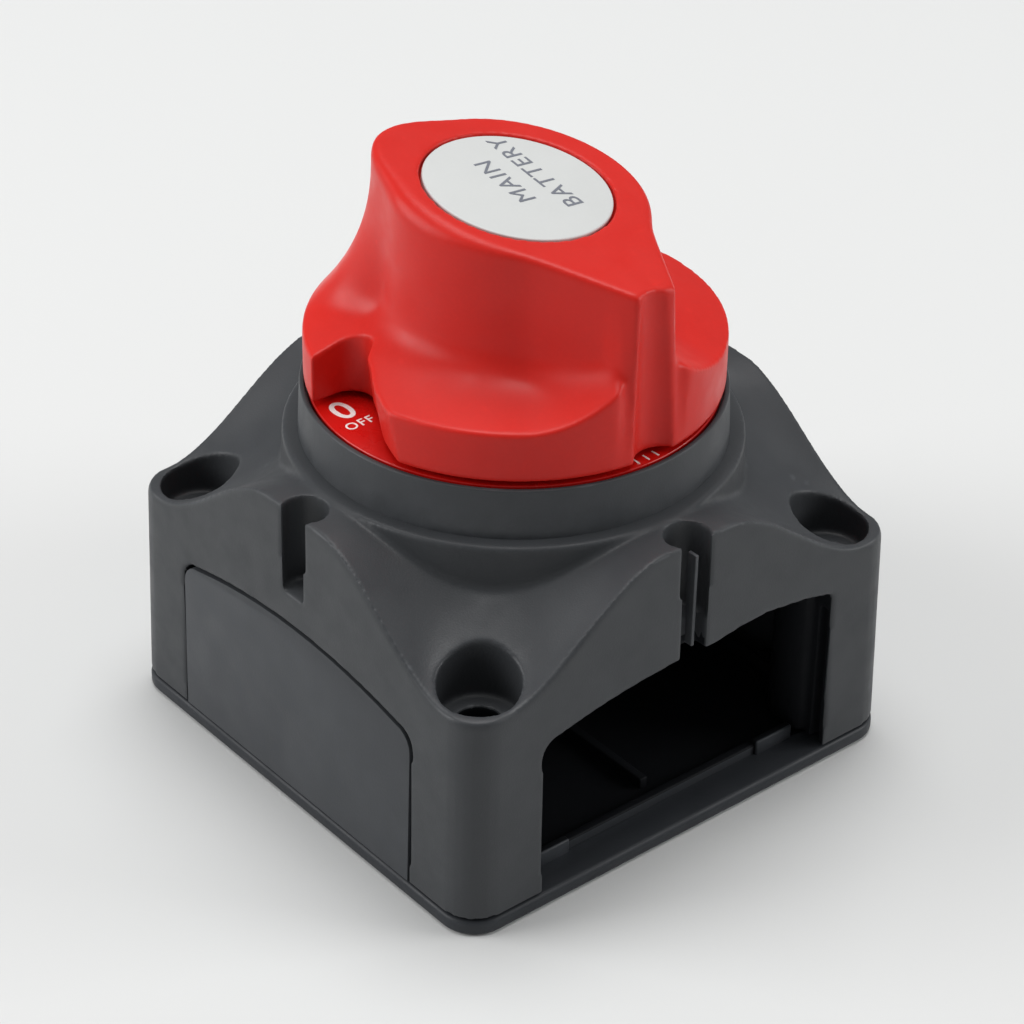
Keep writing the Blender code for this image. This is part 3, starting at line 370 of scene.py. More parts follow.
def lathe(name, profile, sides=128):
    """A closed profile of (radius, height) points turned about the axis."""
    bm = bmesh.new()
    rows = [[bm.verts.new(polar(radius, angle, height)) for radius, height in profile]
            for angle in round_angles(sides)]
    for this, following in zip(rows, rows[1:] + rows[:1]):
        for index in range(len(profile)):
            after = (index + 1) % len(profile)
            if profile[index][0] or profile[after][0]:
                bm.faces.new((this[index], this[after], following[after], following[index]))
    return from_bmesh(name, bm)


def rounded(points, steps=4):
    """A closed outline with corners of (x, y, fillet radius) turned into short curves."""
    outline = []
    count = len(points)
    for index, (x, y, radius) in enumerate(points):
        here = Vector((x, y))
        if not radius:
            outline.append((x, y))
            continue
        before = Vector(points[index - 1][:2]) - here
        after = Vector(points[(index + 1) % count][:2]) - here
        half = before.angle(after) / 2
        reach = min(radius / math.tan(half), 0.49 * before.length, 0.49 * after.length)
        start = here + before.normalized() * reach
        end = here + after.normalized() * reach
        for step in range(steps + 1):
            share = step / steps
            point = start.lerp(here, share).lerp(here.lerp(end, share), share)
            outline.append((point.x, point.y))
    return outline


def turned(name, inner, outer, heights, edges, sides=128, steps=4):
    """A ring, or a disc if inner is 0, with the fillets of its lower and its upper edges."""
    low, high = heights
    hole_edge = edges[0] if inner else 0
    profile = rounded([(inner, low, hole_edge), (outer, low, edges[0]), (outer, high, edges[1]),
                       (inner, high, hole_edge)], steps)
    return lathe(name, profile, sides)


def prism(name, outline, low, high):
    """A flat outline of (x, y) points extruded along Z."""
    return swept(name, [[(x, y, height) for x, y in outline] for height in (low, high)])


def box(name, low, high):
    return prism(name, [(low[0], low[1]), (high[0], low[1]), (high[0], high[1]),
                        (low[0], high[1])], low[2], high[2])


def block(name, half_x, half_y, low, high):
    """A box round the axis."""
    return box(name, (-half_x, -half_y, low), (half_x, half_y, high))


def cross(half_length, half_width, low, high):
    """Two bars that cross on the axis."""
    return [block("bar", half_x, half_y, low, high)
            for half_x, half_y in ((half_length, half_width), (half_width, half_length))]


def arc(centre, radius, start, end, steps):
    """Points on an arc, from one angle in degrees to another, both ends included."""
    points = []
    for step in range(steps + 1):
        angle = math.radians(start + (end - start) * step / steps)
        points.append((centre[0] + radius * math.cos(angle), centre[1] + radius * math.sin(angle)))
    return points


def cylinder(name, place, radius, low, high, sides=48):
    turn = 360.0 / sides
    return prism(name, arc(place, radius, 0.0, 360.0 - turn, sides - 1), low, high)


def evaluated(piece):
    """A new mesh of a piece with its modifiers applied."""
    graph = bpy.context.evaluated_depsgraph_get()
    return bpy.data.meshes.new_from_object(piece.evaluated_get(graph))


def bake(piece):
    """Apply a piece's transform and modifiers to its mesh."""
    mesh = evaluated(piece)
    mesh.transform(piece.matrix_world)
    piece.modifiers.clear()
    piece.matrix_world = Matrix.Identity(4)
    piece.data = mesh
    return piece


def combine(piece, tools, operation):
    for tool in tools:
        modifier = piece.modifiers.new(operation, "BOOLEAN")
        modifier.operation = operation
        modifier.solver = "EXACT"
        modifier.object = tool
    bake(piece)
    for tool in tools:
        bpy.data.objects.remove(tool)
    return piece


def cut(piece, *tools):
    return combine(piece, tools, "DIFFERENCE")


def join(piece, *tools):
    return combine(piece, tools, "UNION")


def soften(piece, voxel, rounds, keep):
    """Give a piece small moulded radii: an even mesh, relaxed, then thinned out where it is flat."""
    remesh = piece.modifiers.new("even", "REMESH")
    remesh.mode = "VOXEL"
    remesh.voxel_size = voxel * MM
    smooth = piece.modifiers.new("relaxed", "SMOOTH")
    smooth.factor = 0.5
    smooth.iterations = rounds
    thin = piece.modifiers.new("thinned", "DECIMATE")
    thin.ratio = keep
    return bake(piece)


def bevel(piece, width, angle=30.0, segments=3):
    modifier = piece.modifiers.new("edges", "BEVEL")
    modifier.width = width * MM
    modifier.segments = segments
    modifier.limit_method = "ANGLE"
    modifier.angle_limit = math.radians(angle)
    return bake(piece)


def placed(piece, place, reading=0.0, height=0.0):
    """Turn a piece about the axis by an angle in degrees, then move it to (x, y) and up."""
    turn = Matrix.Rotation(math.radians(reading), 4, "Z")
    piece.data.transform(Matrix.Translation((place[0] * MM, place[1] * MM, height * MM)) @ turn)
    return piece


def finish(piece, body, slot, *nodes, look=None, smooth_angle=40.0):
    """Shade a piece, give it its look and hang it on its body in place of its CAD nodes."""
    piece.data.materials.clear()
    piece.data.materials.append(materials[look or slot])
    piece.data.shade_smooth()
    piece.data.set_sharp_from_angle(angle=math.radians(smooth_angle))
    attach(piece, body)
    if nodes:
        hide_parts(*nodes)
    return piece


def smoothstep(value):
    value = min(1.0, max(0.0, value))
    return value * value * (3.0 - 2.0 * value)


def corners():
    return [(1, 1), (-1, 1), (-1, -1), (1, -1)]


def mount_places():
    return [(side_x * MOUNT_PLACE, side_y * MOUNT_PLACE) for side_x, side_y in corners()]


def steps_between(low, high, count):
    return [low + (high - low) * step / count for step in range(count + 1)]


# ---- materials

def new_material(name):
    """The tree and the shader of a new material."""
    made = bpy.data.materials.new(name)
    made.use_nodes = True
    materials[name] = made
    return made.node_tree, made.node_tree.nodes["Principled BSDF"]


def fill(tree, socket, value):
    """Link a socket to another one, or set its default value."""
    if isinstance(value, bpy.types.NodeSocket):
        tree.links.new(value, socket)
    else:
        socket.default_value = value


def feed(tree, node, **values):
    """Fill a node's inputs, by name with _ for a space."""
    for key, value in values.items():
        fill(tree, node.inputs[key.replace("_", " ")], value)


def add(tree, kind, settings=None, **values):
    made = tree.nodes.new(kind)
    for key, value in (settings or {}).items():
        setattr(made, key, value)
    feed(tree, made, **values)
    return made


def noise(tree, place, size, detail=3.0, stretch=None):
    """A noise whose features are about size millimetres across."""
    if stretch:
        place = add(tree, "ShaderNodeVectorMath", {"operation": "MULTIPLY"},
                    Vector=place).outputs[0]
        place.node.inputs[1].default_value = stretch
    made = add(tree, "ShaderNodeTexNoise", Vector=place, Scale=1.0 / (size * MM), Detail=detail,
               Roughness=0.55)
    return made.outputs["Fac"]


def mapped(tree, value, low, high, start=0.3, end=0.7):
    made = add(tree, "ShaderNodeMapRange", Value=value, From_Min=start, From_Max=end, To_Min=low,
               To_Max=high)
    return made.outputs["Result"]


def shade(colour, factor):
    return tuple(min(1.0, channel * factor) for channel in colour) + (1.0,)


def mixed(tree, share, first, second):
    made = tree.nodes.new("ShaderNodeMix")
    made.data_type = "RGBA"
    tree.links.new(share, made.inputs["Factor"])
    for name, value in (("A", first), ("B", second)):
        fill(tree, [s for s in made.inputs if s.name == name and s.type == "RGBA"][0], value)
    return [s for s in made.outputs if s.type == "RGBA"][0]


def bumped(tree, layers):
    """Chained bumps from (height socket, strength, depth in millimetres)."""
    normal = None
    for height, strength, depth in layers:
        bump = add(tree, "ShaderNodeBump", Height=height, Strength=strength, Distance=depth * MM)
        if normal:
            tree.links.new(normal, bump.inputs["Normal"])
        normal = bump.outputs["Normal"]
    return normal


def plastic(name, colour, roughness, grain=0.3, grain_depth=0.03, grain_strength=0.5, worn=0.0,
            mottle=0.05, spread=0.08, coat=0.0, glow=0.0, specular=0.3):
    """Moulded plastic: fine grain, cloudy colour and gloss, and edges rubbed a little lighter."""
    tree, shader = new_material(name)
    place = add(tree, "ShaderNodeTexCoord").outputs["Object"]
    cloud = noise(tree, place, CLOUD_SIZE, 4.0)
    fine = noise(tree, place, grain, 2.0)
    tint = mixed(tree, mapped(tree, cloud, 0.0, 1.0), shade(colour, 1.0 - mottle),
                 shade(colour, 1.0 + mottle))
    speckled = mixed(tree, mapped(tree, fine, 0.0, 0.5, 0.45, 0.8), tint,
                     shade(colour, 1.0 + 3.0 * mottle))
    if worn:
        edge = add(tree, "ShaderNodeNewGeometry").outputs["Pointiness"]
        rubbed = add(tree, "ShaderNodeMath", {"operation": "MULTIPLY"})
        tree.links.new(mapped(tree, edge, 0.0, worn, 0.52, 0.62), rubbed.inputs[0])
        tree.links.new(mapped(tree, noise(tree, place, WEAR_SIZE), 0.4, 1.0), rubbed.inputs[1])
        speckled = mixed(tree, rubbed.outputs[0], speckled, shade(colour, RUBBED_TINT))
    cloudy = noise(tree, place, GLOSS_SIZE, 5.0)
    gloss = mapped(tree, cloudy, roughness - spread, roughness + spread)
    ripple = noise(tree, place, RIPPLE_SIZE, 1.0)
    normal = bumped(tree, [(fine, grain_strength, grain_depth), (ripple, 0.25, 0.06)])
    feed(tree, shader, Base_Color=speckled, Roughness=gloss, Normal=normal,
         Specular_IOR_Level=specular, Coat_Weight=coat, Coat_Roughness=0.12)
    if glow:
        feed(tree, shader, Subsurface_Weight=glow, Subsurface_Radius=GLOW_RADIUS,
             Subsurface_Scale=GLOW_DEPTH * MM)


def metal(name, colour, roughness, brush=(1.0, 1.0, 12.0), tarnish=0.25):
    """Machined metal: drawn scratches, uneven gloss and a little tarnish."""
    tree, shader = new_material(name)
    place = add(tree, "ShaderNodeTexCoord").outputs["Object"]
    scratches = noise(tree, place, SCRATCH_SIZE, 6.0, brush)
    cloud = noise(tree, place, TARNISH_SIZE, 4.0)
    tint = mixed(tree, mapped(tree, cloud, 0.0, tarnish, 0.4, 0.75), shade(colour, 1.0),
                 shade(colour, TARNISHED_TINT))
    gloss = mapped(tree, scratches, roughness - 0.08, roughness + 0.14)
    feed(tree, shader, Metallic=1.0, Base_Color=tint, Roughness=gloss,
         Normal=bumped(tree, [(scratches, 0.3, 0.02)]))


def make_materials():
    plastic("housing_plastic", (0.043, 0.046, 0.050), 0.46, worn=0.5, grain=0.22,
            grain_depth=0.035, grain_strength=0.6)
    # painted shade: a near-black copy of the housing plastic, laid on inner faces of the housing and
    # the base plate where shade falls
    plastic("painted_shade_plastic", (0.010, 0.011, 0.013), 0.6, specular=0.1)
    plastic("base_plastic", (0.028, 0.031, 0.036), 0.48, worn=0.3)
    plastic("cover_plastic", (0.041, 0.044, 0.049), 0.5, worn=0.3)
    plastic("knob_plastic", (0.60, 0.018, 0.012), 0.40, grain=0.5, grain_depth=0.012,
            grain_strength=0.25, mottle=0.03, worn=0.12, glow=0.15, specular=0.25)
    plastic("dial_plastic", (0.55, 0.006, 0.004), 0.3, grain=0.6, grain_depth=0.006,
            grain_strength=0.2, mottle=0.03, coat=0.4)
    plastic("dial_ink", (0.80, 0.80, 0.78), 0.45, mottle=0.02, grain_strength=0.2)
    plastic("label_plastic", (0.60, 0.61, 0.60), 0.42, grain=0.5, grain_depth=0.008,
            grain_strength=0.2, mottle=0.01)
    plastic("label_ink", (0.17, 0.18, 0.21), 0.5, mottle=0.04, grain_strength=0.2)
    plastic("rotor_plastic", (0.03, 0.031, 0.034), 0.42)
    plastic("seal_rubber", (0.012, 0.012, 0.013), 0.62, grain=0.15, grain_depth=0.02)
    plastic("nylon", (0.60, 0.57, 0.48), 0.4, mottle=0.04, glow=0.2)
    metal("stainless_steel", (0.60, 0.60, 0.61), 0.26)
    metal("spring_steel", (0.38, 0.38, 0.40), 0.3, (1.0, 1.0, 1.0))
    metal("copper", (0.80, 0.36, 0.22), 0.28, (8.0, 1.0, 1.0))
    metal("tinned_copper", (0.66, 0.64, 0.60), 0.32)


# ---- housing

def from_face(angle):
    """Angle between a direction and the nearest side face's middle."""
    return abs((angle + math.pi / 4) % (math.pi / 2) - math.pi / 4)


def square_reach(angle, half, radius):
    """Distance from the axis to a rounded square's outline in a direction."""
    turn = from_face(angle)
    inner = half - radius
    if half * math.tan(turn) <= inner:
        return half / math.cos(turn)
    centre = inner * math.sqrt(2.0)
    off = math.pi / 4 - turn
    return centre * math.cos(off) + math.sqrt(radius ** 2 - (centre * math.sin(off)) ** 2)


def side_half(height):
    return BASE_HALF - DRAFT * height


def edge_height(angle):
    """Height of the side faces' upper edge: high in the middle of a face, low at the corners."""
    along = side_half(SHOULDER_HEIGHT) * math.tan(from_face(angle))
    fall = smoothstep((along - FACE_CREST_HALF) / FACE_SLOPE_WIDTH)
    return SHOULDER_HEIGHT + FACE_RISE * (1.0 - fall)


def foot_height(angle):
    """Height of the plinth's foot, lowest on the diagonals."""
    drop = DIAGONAL_DROP * (math.sin(2.0 * angle) ** 2) ** DIAGONAL_POWER
    return LEDGE_HEIGHT - LEDGE_GROOVE - drop


def shell_rings(angles):
    """Rings of the housing's outer surface from its bottom edge up to the ledge."""
    edges = [edge_height(angle) for angle in angles]
    reaches = [square_reach(a, side_half(z), CORNER_RADIUS) for a, z in zip(angles, edges)]
    foot_radius = PLINTH_RADIUS + PLINTH_DRAFT
    rings = []
    for share in WALL_SHARES:
        heights = [HOUSING_BOTTOM + share * (edge - HOUSING_BOTTOM) for edge in edges]
        rings.append([(square_reach(a, side_half(z), CORNER_RADIUS), z)
                      for a, z in zip(angles, heights)])
    for share in reversed(steps_between(*SWEEP_STEPS)):
        row = []
        for angle, reach, edge in zip(angles, reaches, edges):
            rise = (foot_height(angle) - edge) * (1.0 - share) ** SWEEP_POWER
            row.append((foot_radius + share * (reach - foot_radius), edge + rise))
        rings.append(row)
    rings.append([(PLINTH_RADIUS, LEDGE_HEIGHT)] * len(angles))
    return rings


def arch_outline():
    """Outline of a cable opening in a side face: (along the face, height)."""
    shoulder = OPENING_HALF - OPENING_CORNER
    right = [(OPENING_HALF, HOUSING_BOTTOM - 2 * OVERSHOOT)]
    right += arc((shoulder, OPENING_SPRING - OPENING_CORNER), OPENING_CORNER, 0, 90, 10)
    crown = []
    for step in range(1, 2 * ARCH_STEPS):
        along = shoulder * (1.0 - step / ARCH_STEPS)
        crown.append((along, OPENING_SPRING + OPENING_RISE * (1.0 - (along / shoulder) ** 2)))
    left = [(-x, z) for x, z in reversed(right)]
    return right + crown + left


def through_side(name, outline, quarters):
    """A tool through a side wall, from points (along the face, height); 0 is the +X side."""
    piece = prism(name, outline, CAVITY_HALF - OVERSHOOT, BASE_HALF + OVERSHOOT)
    upright = Matrix(((0, 0, 1, 0), (1, 0, 0, 0), (0, 1, 0, 0), (0, 0, 0, 1)))
    piece.data.transform(Matrix.Rotation(math.pi / 2 * quarters, 4, "Z") @ upright)
    return piece


def turned_quarters(piece, quarters):
    piece.data.transform(Matrix.Rotation(math.pi / 2 * quarters, 4, "Z"))
    return piece


def slot_tools(quarters):
    bottom = OPEN_SLOT_BOTTOM if quarters == 0 else SLOT_BOTTOM
    top = LEDGE_HEIGHT + 3 * OVERSHOOT
    slot = box("slot", (SLOT_HOLE_PLACE, -SLOT_HALF_WIDTH, bottom),
               (BASE_HALF + OVERSHOOT, SLOT_HALF_WIDTH, top))
    hole = cylinder("slot_hole", (SLOT_HOLE_PLACE, 0.0), SLOT_HOLE_RADIUS, SLOT_BOTTOM, top)
    return [turned_quarters(tool, quarters) for tool in (slot, hole)]


def jamb_grooves():
    """An upright groove in each jamb of the open entry, which a cover's edges slide in."""
    grooves = []
    for side in (-1, 1):
        ends = sorted((side * (OPENING_HALF - GAP), side * (OPENING_HALF + GROOVE_DEPTH)))
        grooves.append(box("groove", (GROOVE_PLACE, ends[0], HOUSING_BOTTOM - OVERSHOOT),
                           (GROOVE_PLACE + GROOVE_WIDTH, ends[1], GROOVE_TOP)))
    return grooves


def make_slot_rib():
    """A thin upright rib on the back wall of the open interlock slot."""
    reach, thickness = SLOT_RIB_SIZE
    rib = box("slot_rib",
              (SLOT_HOLE_PLACE - GAP, SLOT_RIB_PLACE, OPEN_SLOT_BOTTOM + SLOT_RIB_FOOT),
              (SLOT_HOLE_PLACE + reach, SLOT_RIB_PLACE + thickness, LEDGE_HEIGHT - SLOT_RIB_HEAD))
    bevel(rib, SLOT_RIB_EDGE)
    finish(rib, "housing", "housing_plastic", "housing")


def is_inside(point):
    """Whether a point of the shell is on the inner surface behind the side walls, which is painted
    near black as shade.
    """
    if point.z > CAVITY_TOP + GAP:
        return False
    for x, y in mount_places():
        off = math.hypot(point.x - x, point.y - y)
        if off < COUNTERBORE_RADIUS + GAP and point.z > COUNTERBORE_FLOOR - GAP:
            return False
    angle = math.atan2(point.y, point.x)
    outer = square_reach(angle, side_half(point.z) - INNER_DEPTH, CORNER_RADIUS - INNER_DEPTH)
    return math.hypot(point.x, point.y) < outer


def make_shell():
    """The housing's body below the collar."""
    angles = round_angles(SHELL_ANGLES)
    shell = lofted("housing_shell", angles, shell_rings(angles))
    below = HOUSING_BOTTOM - OVERSHOOT
    cut(shell, block("cavity", CAVITY_HALF, CAVITY_HALF, below, CAVITY_TOP))
    join(shell, *[cylinder("pillar", place, PILLAR_RADIUS, HOUSING_BOTTOM + GAP,
                           CAVITY_TOP + OVERSHOOT) for place in mount_places()])
    above = LEDGE_HEIGHT + OVERSHOOT
    tools = [cylinder("chamber", (0.0, 0.0), CHAMBER_RADIUS, CAVITY_TOP - OVERSHOOT,
                      CHAMBER_STEP, sides=96),
             cylinder("upper_chamber", (0.0, 0.0), CHAMBER_UPPER_RADIUS, CAVITY_TOP, above,
                      sides=96)]
    for place in mount_places():
        tools.append(cylinder("bore", place, MOUNT_HOLE_RADIUS, below, above))
        tools.append(cylinder("counterbore", place, COUNTERBORE_RADIUS, COUNTERBORE_FLOOR, above))
    for quarters in range(4):
        tools.append(through_side("opening", arch_outline(), quarters))
        tools += slot_tools(quarters)
    corner = [(OPEN_CORNER[0][0], SHOULDER_HEIGHT / 2), (OPENING_HALF, SHOULDER_HEIGHT / 2)]
    corner += reversed(OPEN_CORNER)
    tools.append(through_side("corner", corner, 0))
    tools += jamb_grooves()
    cut(shell, *tools)
    soften(shell, *SHELL_SOFTNESS)
    finish(shell, "housing", "housing_plastic", "housing")
    # inner faces behind the side walls, but not the counterbores, take the near-black plastic:
    # painted shade for the inside of the housing
    shell.data.materials.append(materials["painted_shade_plastic"])
    for face in shell.data.polygons:
        face.material_index = int(is_inside(face.center / MM))


def make_collar():
    """The round collar, the roof under the dial and the seats for the seal and the shaft."""
    low = LEDGE_HEIGHT - COLLAR_SINK
    profile = rounded([
        (COLLAR_FOOT_RADIUS, low, 0), (COLLAR_RADIUS, COLLAR_TOP, COLLAR_EDGE),
        (DIAL_SEAT_RADIUS, COLLAR_TOP, SEAT_EDGE), (DIAL_SEAT_RADIUS, ROOF_TOP, 0),
        (SEAL_SEAT_RADIUS, ROOF_TOP, SEAL_SEAT_EDGE), (SEAL_SEAT_RADIUS, SEAL_SEAT_FLOOR, 0),
        (SHAFT_HOLE_RADIUS, SEAL_SEAT_FLOOR, SEAT_EDGE),
        (SHAFT_HOLE_RADIUS, ROOF_BOTTOM, SEAT_EDGE),
        (CHAMBER_UPPER_RADIUS, ROOF_BOTTOM, 0), (CHAMBER_UPPER_RADIUS, low, 0)])
    collar = lathe("housing_collar", profile, sides=192)
    finish(collar, "housing", "housing_plastic", "housing")


# ---- knob

def top_height(reach, angle):
    """Height of the knob's top face at a distance from the axis, in a direction."""
    x, y, centre = polar(reach, angle, KNOB_CENTRE_HEIGHT)
    return centre + KNOB_SLOPE[0] * x + KNOB_SLOPE[1] * y


def wrapped(angle):
    return (angle + math.pi) % math.tau - math.pi


def fading(angle, start, end):
    """1 near the pointer and 0 away from it, changing between two angles in degrees."""
    bend = math.degrees(abs(wrapped(angle)))
    return 1.0 - smoothstep((bend - start) / (end - start))


def hump(angle, middle, spread):
    """1 at one angle, falling smoothly to 0 on both sides of it."""
    off = min(1.0, abs(wrapped(angle - middle)) / spread)
    return math.cos(off * math.pi / 2) ** 2


def body_reach(angle):
    """Outline of the knob's top face: a circle drawn out to a pointer, with a bulge at the heel."""
    angle = wrapped(angle)
    body = BODY_RADIUS + HEEL_BULGE * hump(angle, HEEL_ANGLE, HEEL_SPREAD)
    body -= FRONT_FLAT * hump(angle, FRONT_ANGLE, FRONT_SPREAD)
    offset = FRONT_FLANK_OFFSET if angle < 0 else REAR_FLANK_OFFSET
    flank = offset / math.cos(max(0.0, POINTER_FLANK - abs(angle)))
    reach = (body ** FLANK_BLEND + flank ** FLANK_BLEND) ** (1.0 / FLANK_BLEND)
    if abs(angle) < POINTER_FLANK:
        reach = min(reach, POINTER_REACH / math.cos(angle))
    return reach


def edge_radius(angle):
    """Radius of the top face's edge: crisp round the pointer, broad along the front."""
    return TOP_EDGE + BROAD_EDGE * hump(angle, BROAD_EDGE_ANGLE, BROAD_EDGE_SPREAD)


def rim_height(angle):
    """Height of the skirt's rim, which climbs beside the pointer."""
    front = wrapped(angle) < 0
    rim, climb = (FRONT_RIM, FRONT_RIM_CLIMB) if front else (REAR_RIM, REAR_RIM_CLIMB)
    bend = math.degrees(abs(wrapped(angle)))
    near = (RIM_CLIMB_END - bend) / (RIM_CLIMB_END - RIM_CLIMB_START)
    return rim + climb * min(1.0, max(0.0, near)) ** 2


def flare(angle, share):
    """How far the skirt's width carries on at a share of the way from the rim to the top."""
    scooped = fading(angle, SCOOP_END, SCOOP_END + SCOOP_RUN_OUT)
    scoop = (1.0 - share) ** SCOOP_POWER
    heel = (1.0 - share) ** HEEL_POWER
    return scooped * scoop + (1.0 - scooped) * heel


def knob_point(angle, share):
    reach = body_reach(angle)
    top = top_height(reach, angle) - edge_radius(angle)
    rim = rim_height(angle)
    height = rim + share * (top - rim)
    leaning = (top - height) / (top - KNOB_BOTTOM)
    pointed = fading(angle, POINTER_END, POINTER_BLEND_END)
    spread = pointed * leaning + (1.0 - pointed) * flare(angle, share)
    return reach + (KNOB_RADIUS - reach) * spread, height


def knob_rings(angles):
    rings = [[(KNOB_RADIUS - KNOB_FOOT_EDGE, KNOB_BOTTOM)] * len(angles),
             [(KNOB_RADIUS, KNOB_BOTTOM + KNOB_FOOT_EDGE)] * len(angles)]
    for share in steps_between(*LOWER_SIDE_STEPS) + steps_between(*UPPER_SIDE_STEPS):
        rings.append([knob_point(angle, share) for angle in angles])
    for turn in steps_between(0.0, math.pi / 2, TOP_EDGE_STEPS):
        row = []
        for angle in angles:
            edge = edge_radius(angle)
            reach = body_reach(angle) - edge * (1.0 - math.cos(turn))
            row.append((reach, top_height(reach, angle) - edge * (1.0 - math.sin(turn))))
        rings.append(row)
    return rings


def window_section(height):
    """The reading window's plan at a height: a straight left wall and a leaning flared right one."""
    lean = WINDOW_LEAN * (height - KNOB_BOTTOM)
    back = arc((WINDOW_LEFT + WINDOW_CORNER, WINDOW_BACK), WINDOW_CORNER, *WINDOW_BACK_ARC)
    right = [(x - lean, y - lean / 2) for x, y in WINDOW_FLARE]
    plan = [(WINDOW_LEFT, WINDOW_MOUTH), *back, *right, (WINDOW_FLARE[-1][0], WINDOW_MOUTH)]
    return [(x, y, height) for x, y in plan]


def tilt_to_top(piece):
    """Lay a shape made about the origin on the knob's sloping top face."""
    normal = Vector((-KNOB_SLOPE[0], -KNOB_SLOPE[1], 1.0))
    lean = Vector((0.0, 0.0, 1.0)).rotation_difference(normal).to_matrix().to_4x4()
    piece.data.transform(Matrix.Translation((0, 0, KNOB_CENTRE_HEIGHT * MM)) @ lean)
    return piece


def make_knob():
    angles = round_angles(KNOB_ANGLES)
    knob = lofted("knob_moulding", angles, knob_rings(angles))
    below = KNOB_BOTTOM - OVERSHOOT
    hollow = [(KNOB_HOLLOW_INNER, KNOB_HOLLOW_OUTER[0][1]), *KNOB_HOLLOW_OUTER,
              (KNOB_HOLLOW_OUTER[-1][0], below), (KNOB_HOLLOW_INNER, below)]
    cut(knob,
        cylinder("channel", (CHANNEL_PLACE, 0.0), CHANNEL_RADIUS, below,
                 KNOB_CENTRE_HEIGHT + OVERSHOOT),
        swept("window", [window_section(below), window_section(WINDOW_TOP)]),
        lathe("hollow", hollow, sides=96),
        block("socket", SOCKET_HALF, SOCKET_HALF, below, SOCKET_TOP),
        cylinder("socket_mouth", (0.0, 0.0), SHAFT_RADIUS + GAP, below, SHAFT_TOP + GAP),
        cylinder("screw_hole", (0.0, 0.0), KNOB_SCREW_HOLE_RADIUS, SOCKET_TOP - OVERSHOOT,
                 HEAD_POCKET_FLOOR + OVERSHOOT),
        cylinder("head_pocket", (0.0, 0.0), HEAD_POCKET_RADIUS, HEAD_POCKET_FLOOR,
                 KNOB_CENTRE_HEIGHT),
        tilt_to_top(cylinder("recess", (0.0, 0.0), LABEL_RADIUS + GAP, -LABEL_RECESS,
                             3 * OVERSHOOT, sides=96)))
    soften(knob, *KNOB_SOFTNESS)
    finish(knob, "knob", "knob_plastic", "knob", smooth_angle=60.0)


def make_label():
    top = GAP - LABEL_RECESS + LABEL_THICKNESS
    label = turned("label_face", 0.0, LABEL_RADIUS, (top - LABEL_THICKNESS, top), LABEL_EDGES)
    finish(tilt_to_top(label), "knob", "label_plastic", "label_disc")


# ---- print

def lettering(name, text, size, weight, spacing):
    """Flat printed text about the origin, size millimetres high and reading along +X."""
    curve = bpy.data.curves.new(name, "FONT")
    curve.body = text
    curve.size = size * MM
    curve.align_x = "CENTER"
    curve.align_y = "CENTER"
    curve.space_character = spacing
    curve.offset = weight * MM
    curve.extrude = PRINT_RAISE * MM
    piece = link(bpy.data.objects.new(name, curve))
    mesh = evaluated(piece)
    bpy.data.objects.remove(piece)
    for axis in (0, 1):
        places = [vertex.co[axis] for vertex in mesh.vertices]
        shift = Vector((0.0, 0.0, 0.0))
        shift[axis] = -(min(places) + max(places)) / 2
        mesh.transform(Matrix.Translation(shift))
    return link(bpy.data.objects.new(name, mesh))


def make_label_print():
    top = GAP - LABEL_RECESS + LABEL_THICKNESS + PRINT_RAISE
    for name, text, place in LABEL_LINES:
        line = placed(lettering(name, text, *LABEL_TEXT), place, 180.0, top)
        finish(tilt_to_top(line), "knob", "label_plastic", look="label_ink")


def make_dial():
    low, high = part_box("dial_ring")
    dial = turned("dial_face", DIAL_HOLE_RADIUS, high.x / MM, (low.z / MM, high.z / MM),
                  DIAL_EDGES, sides=192)
    finish(dial, "housing", "dial_plastic", "dial_ring")
    top = high.z / MM + PRINT_RAISE / 2
    inner, outer, half = DIAL_TICK
    for turn, number, word in DIAL_POSITIONS:
        around = Matrix.Rotation(math.radians(turn), 4, "Z")
        for kind, text, (size, weight, place) in (("number", number, DIAL_NUMBER),
                                                  ("word", word, DIAL_WORD)):
            print_face = lettering(f"dial_{kind}_{number}", text, size, weight, DIAL_TEXT_SPACING)
            piece = placed(print_face, place, 90.0, top)
            piece.data.transform(around)
            finish(piece, "housing", "dial_plastic", look="dial_ink")
        for index, spread in enumerate(DIAL_TICK_DEGREES):
            tick = box(f"dial_tick_{number}_{index}", (inner, -half, top - PRINT_RAISE),
                       (outer, half, top + PRINT_RAISE))
            tick.data.transform(around @ Matrix.Rotation(math.radians(spread), 4, "Z"))
            finish(tick, "housing", "dial_plastic", look="dial_ink")


# ---- hardware

def node_box(node):
    """Centre and half width in plan, lowest and highest height of a CAD node, in millimetres."""
    low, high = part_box(node)
    centre = ((low.x + high.x) / 2 / MM, (low.y + high.y) / 2 / MM)
    return centre, (high.x - low.x) / 2 / MM, low.z / MM, high.z / MM


def done(piece, node, smooth_angle=40.0):
    """Finish a piece that stands for one CAD node, on the node's body and in its material."""
    body = frame["nodes"][node]["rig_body"]
    return finish(piece, body, slots[node], node, smooth_angle=smooth_angle)


def copied(node, name):
    """A clean copy of a CAD node's mesh."""
    bm = bmesh.new()
    bm.from_mesh(frame["nodes"][node].data)
    bmesh.ops.scale(bm, vec=(1 / MM,) * 3, verts=bm.verts)
    bmesh.ops.remove_doubles(bm, verts=bm.verts, dist=MERGE_DISTANCE)
    bmesh.ops.dissolve_limit(bm, angle_limit=math.radians(0.5), verts=bm.verts, edges=bm.edges)
    return from_bmesh(name, bm)


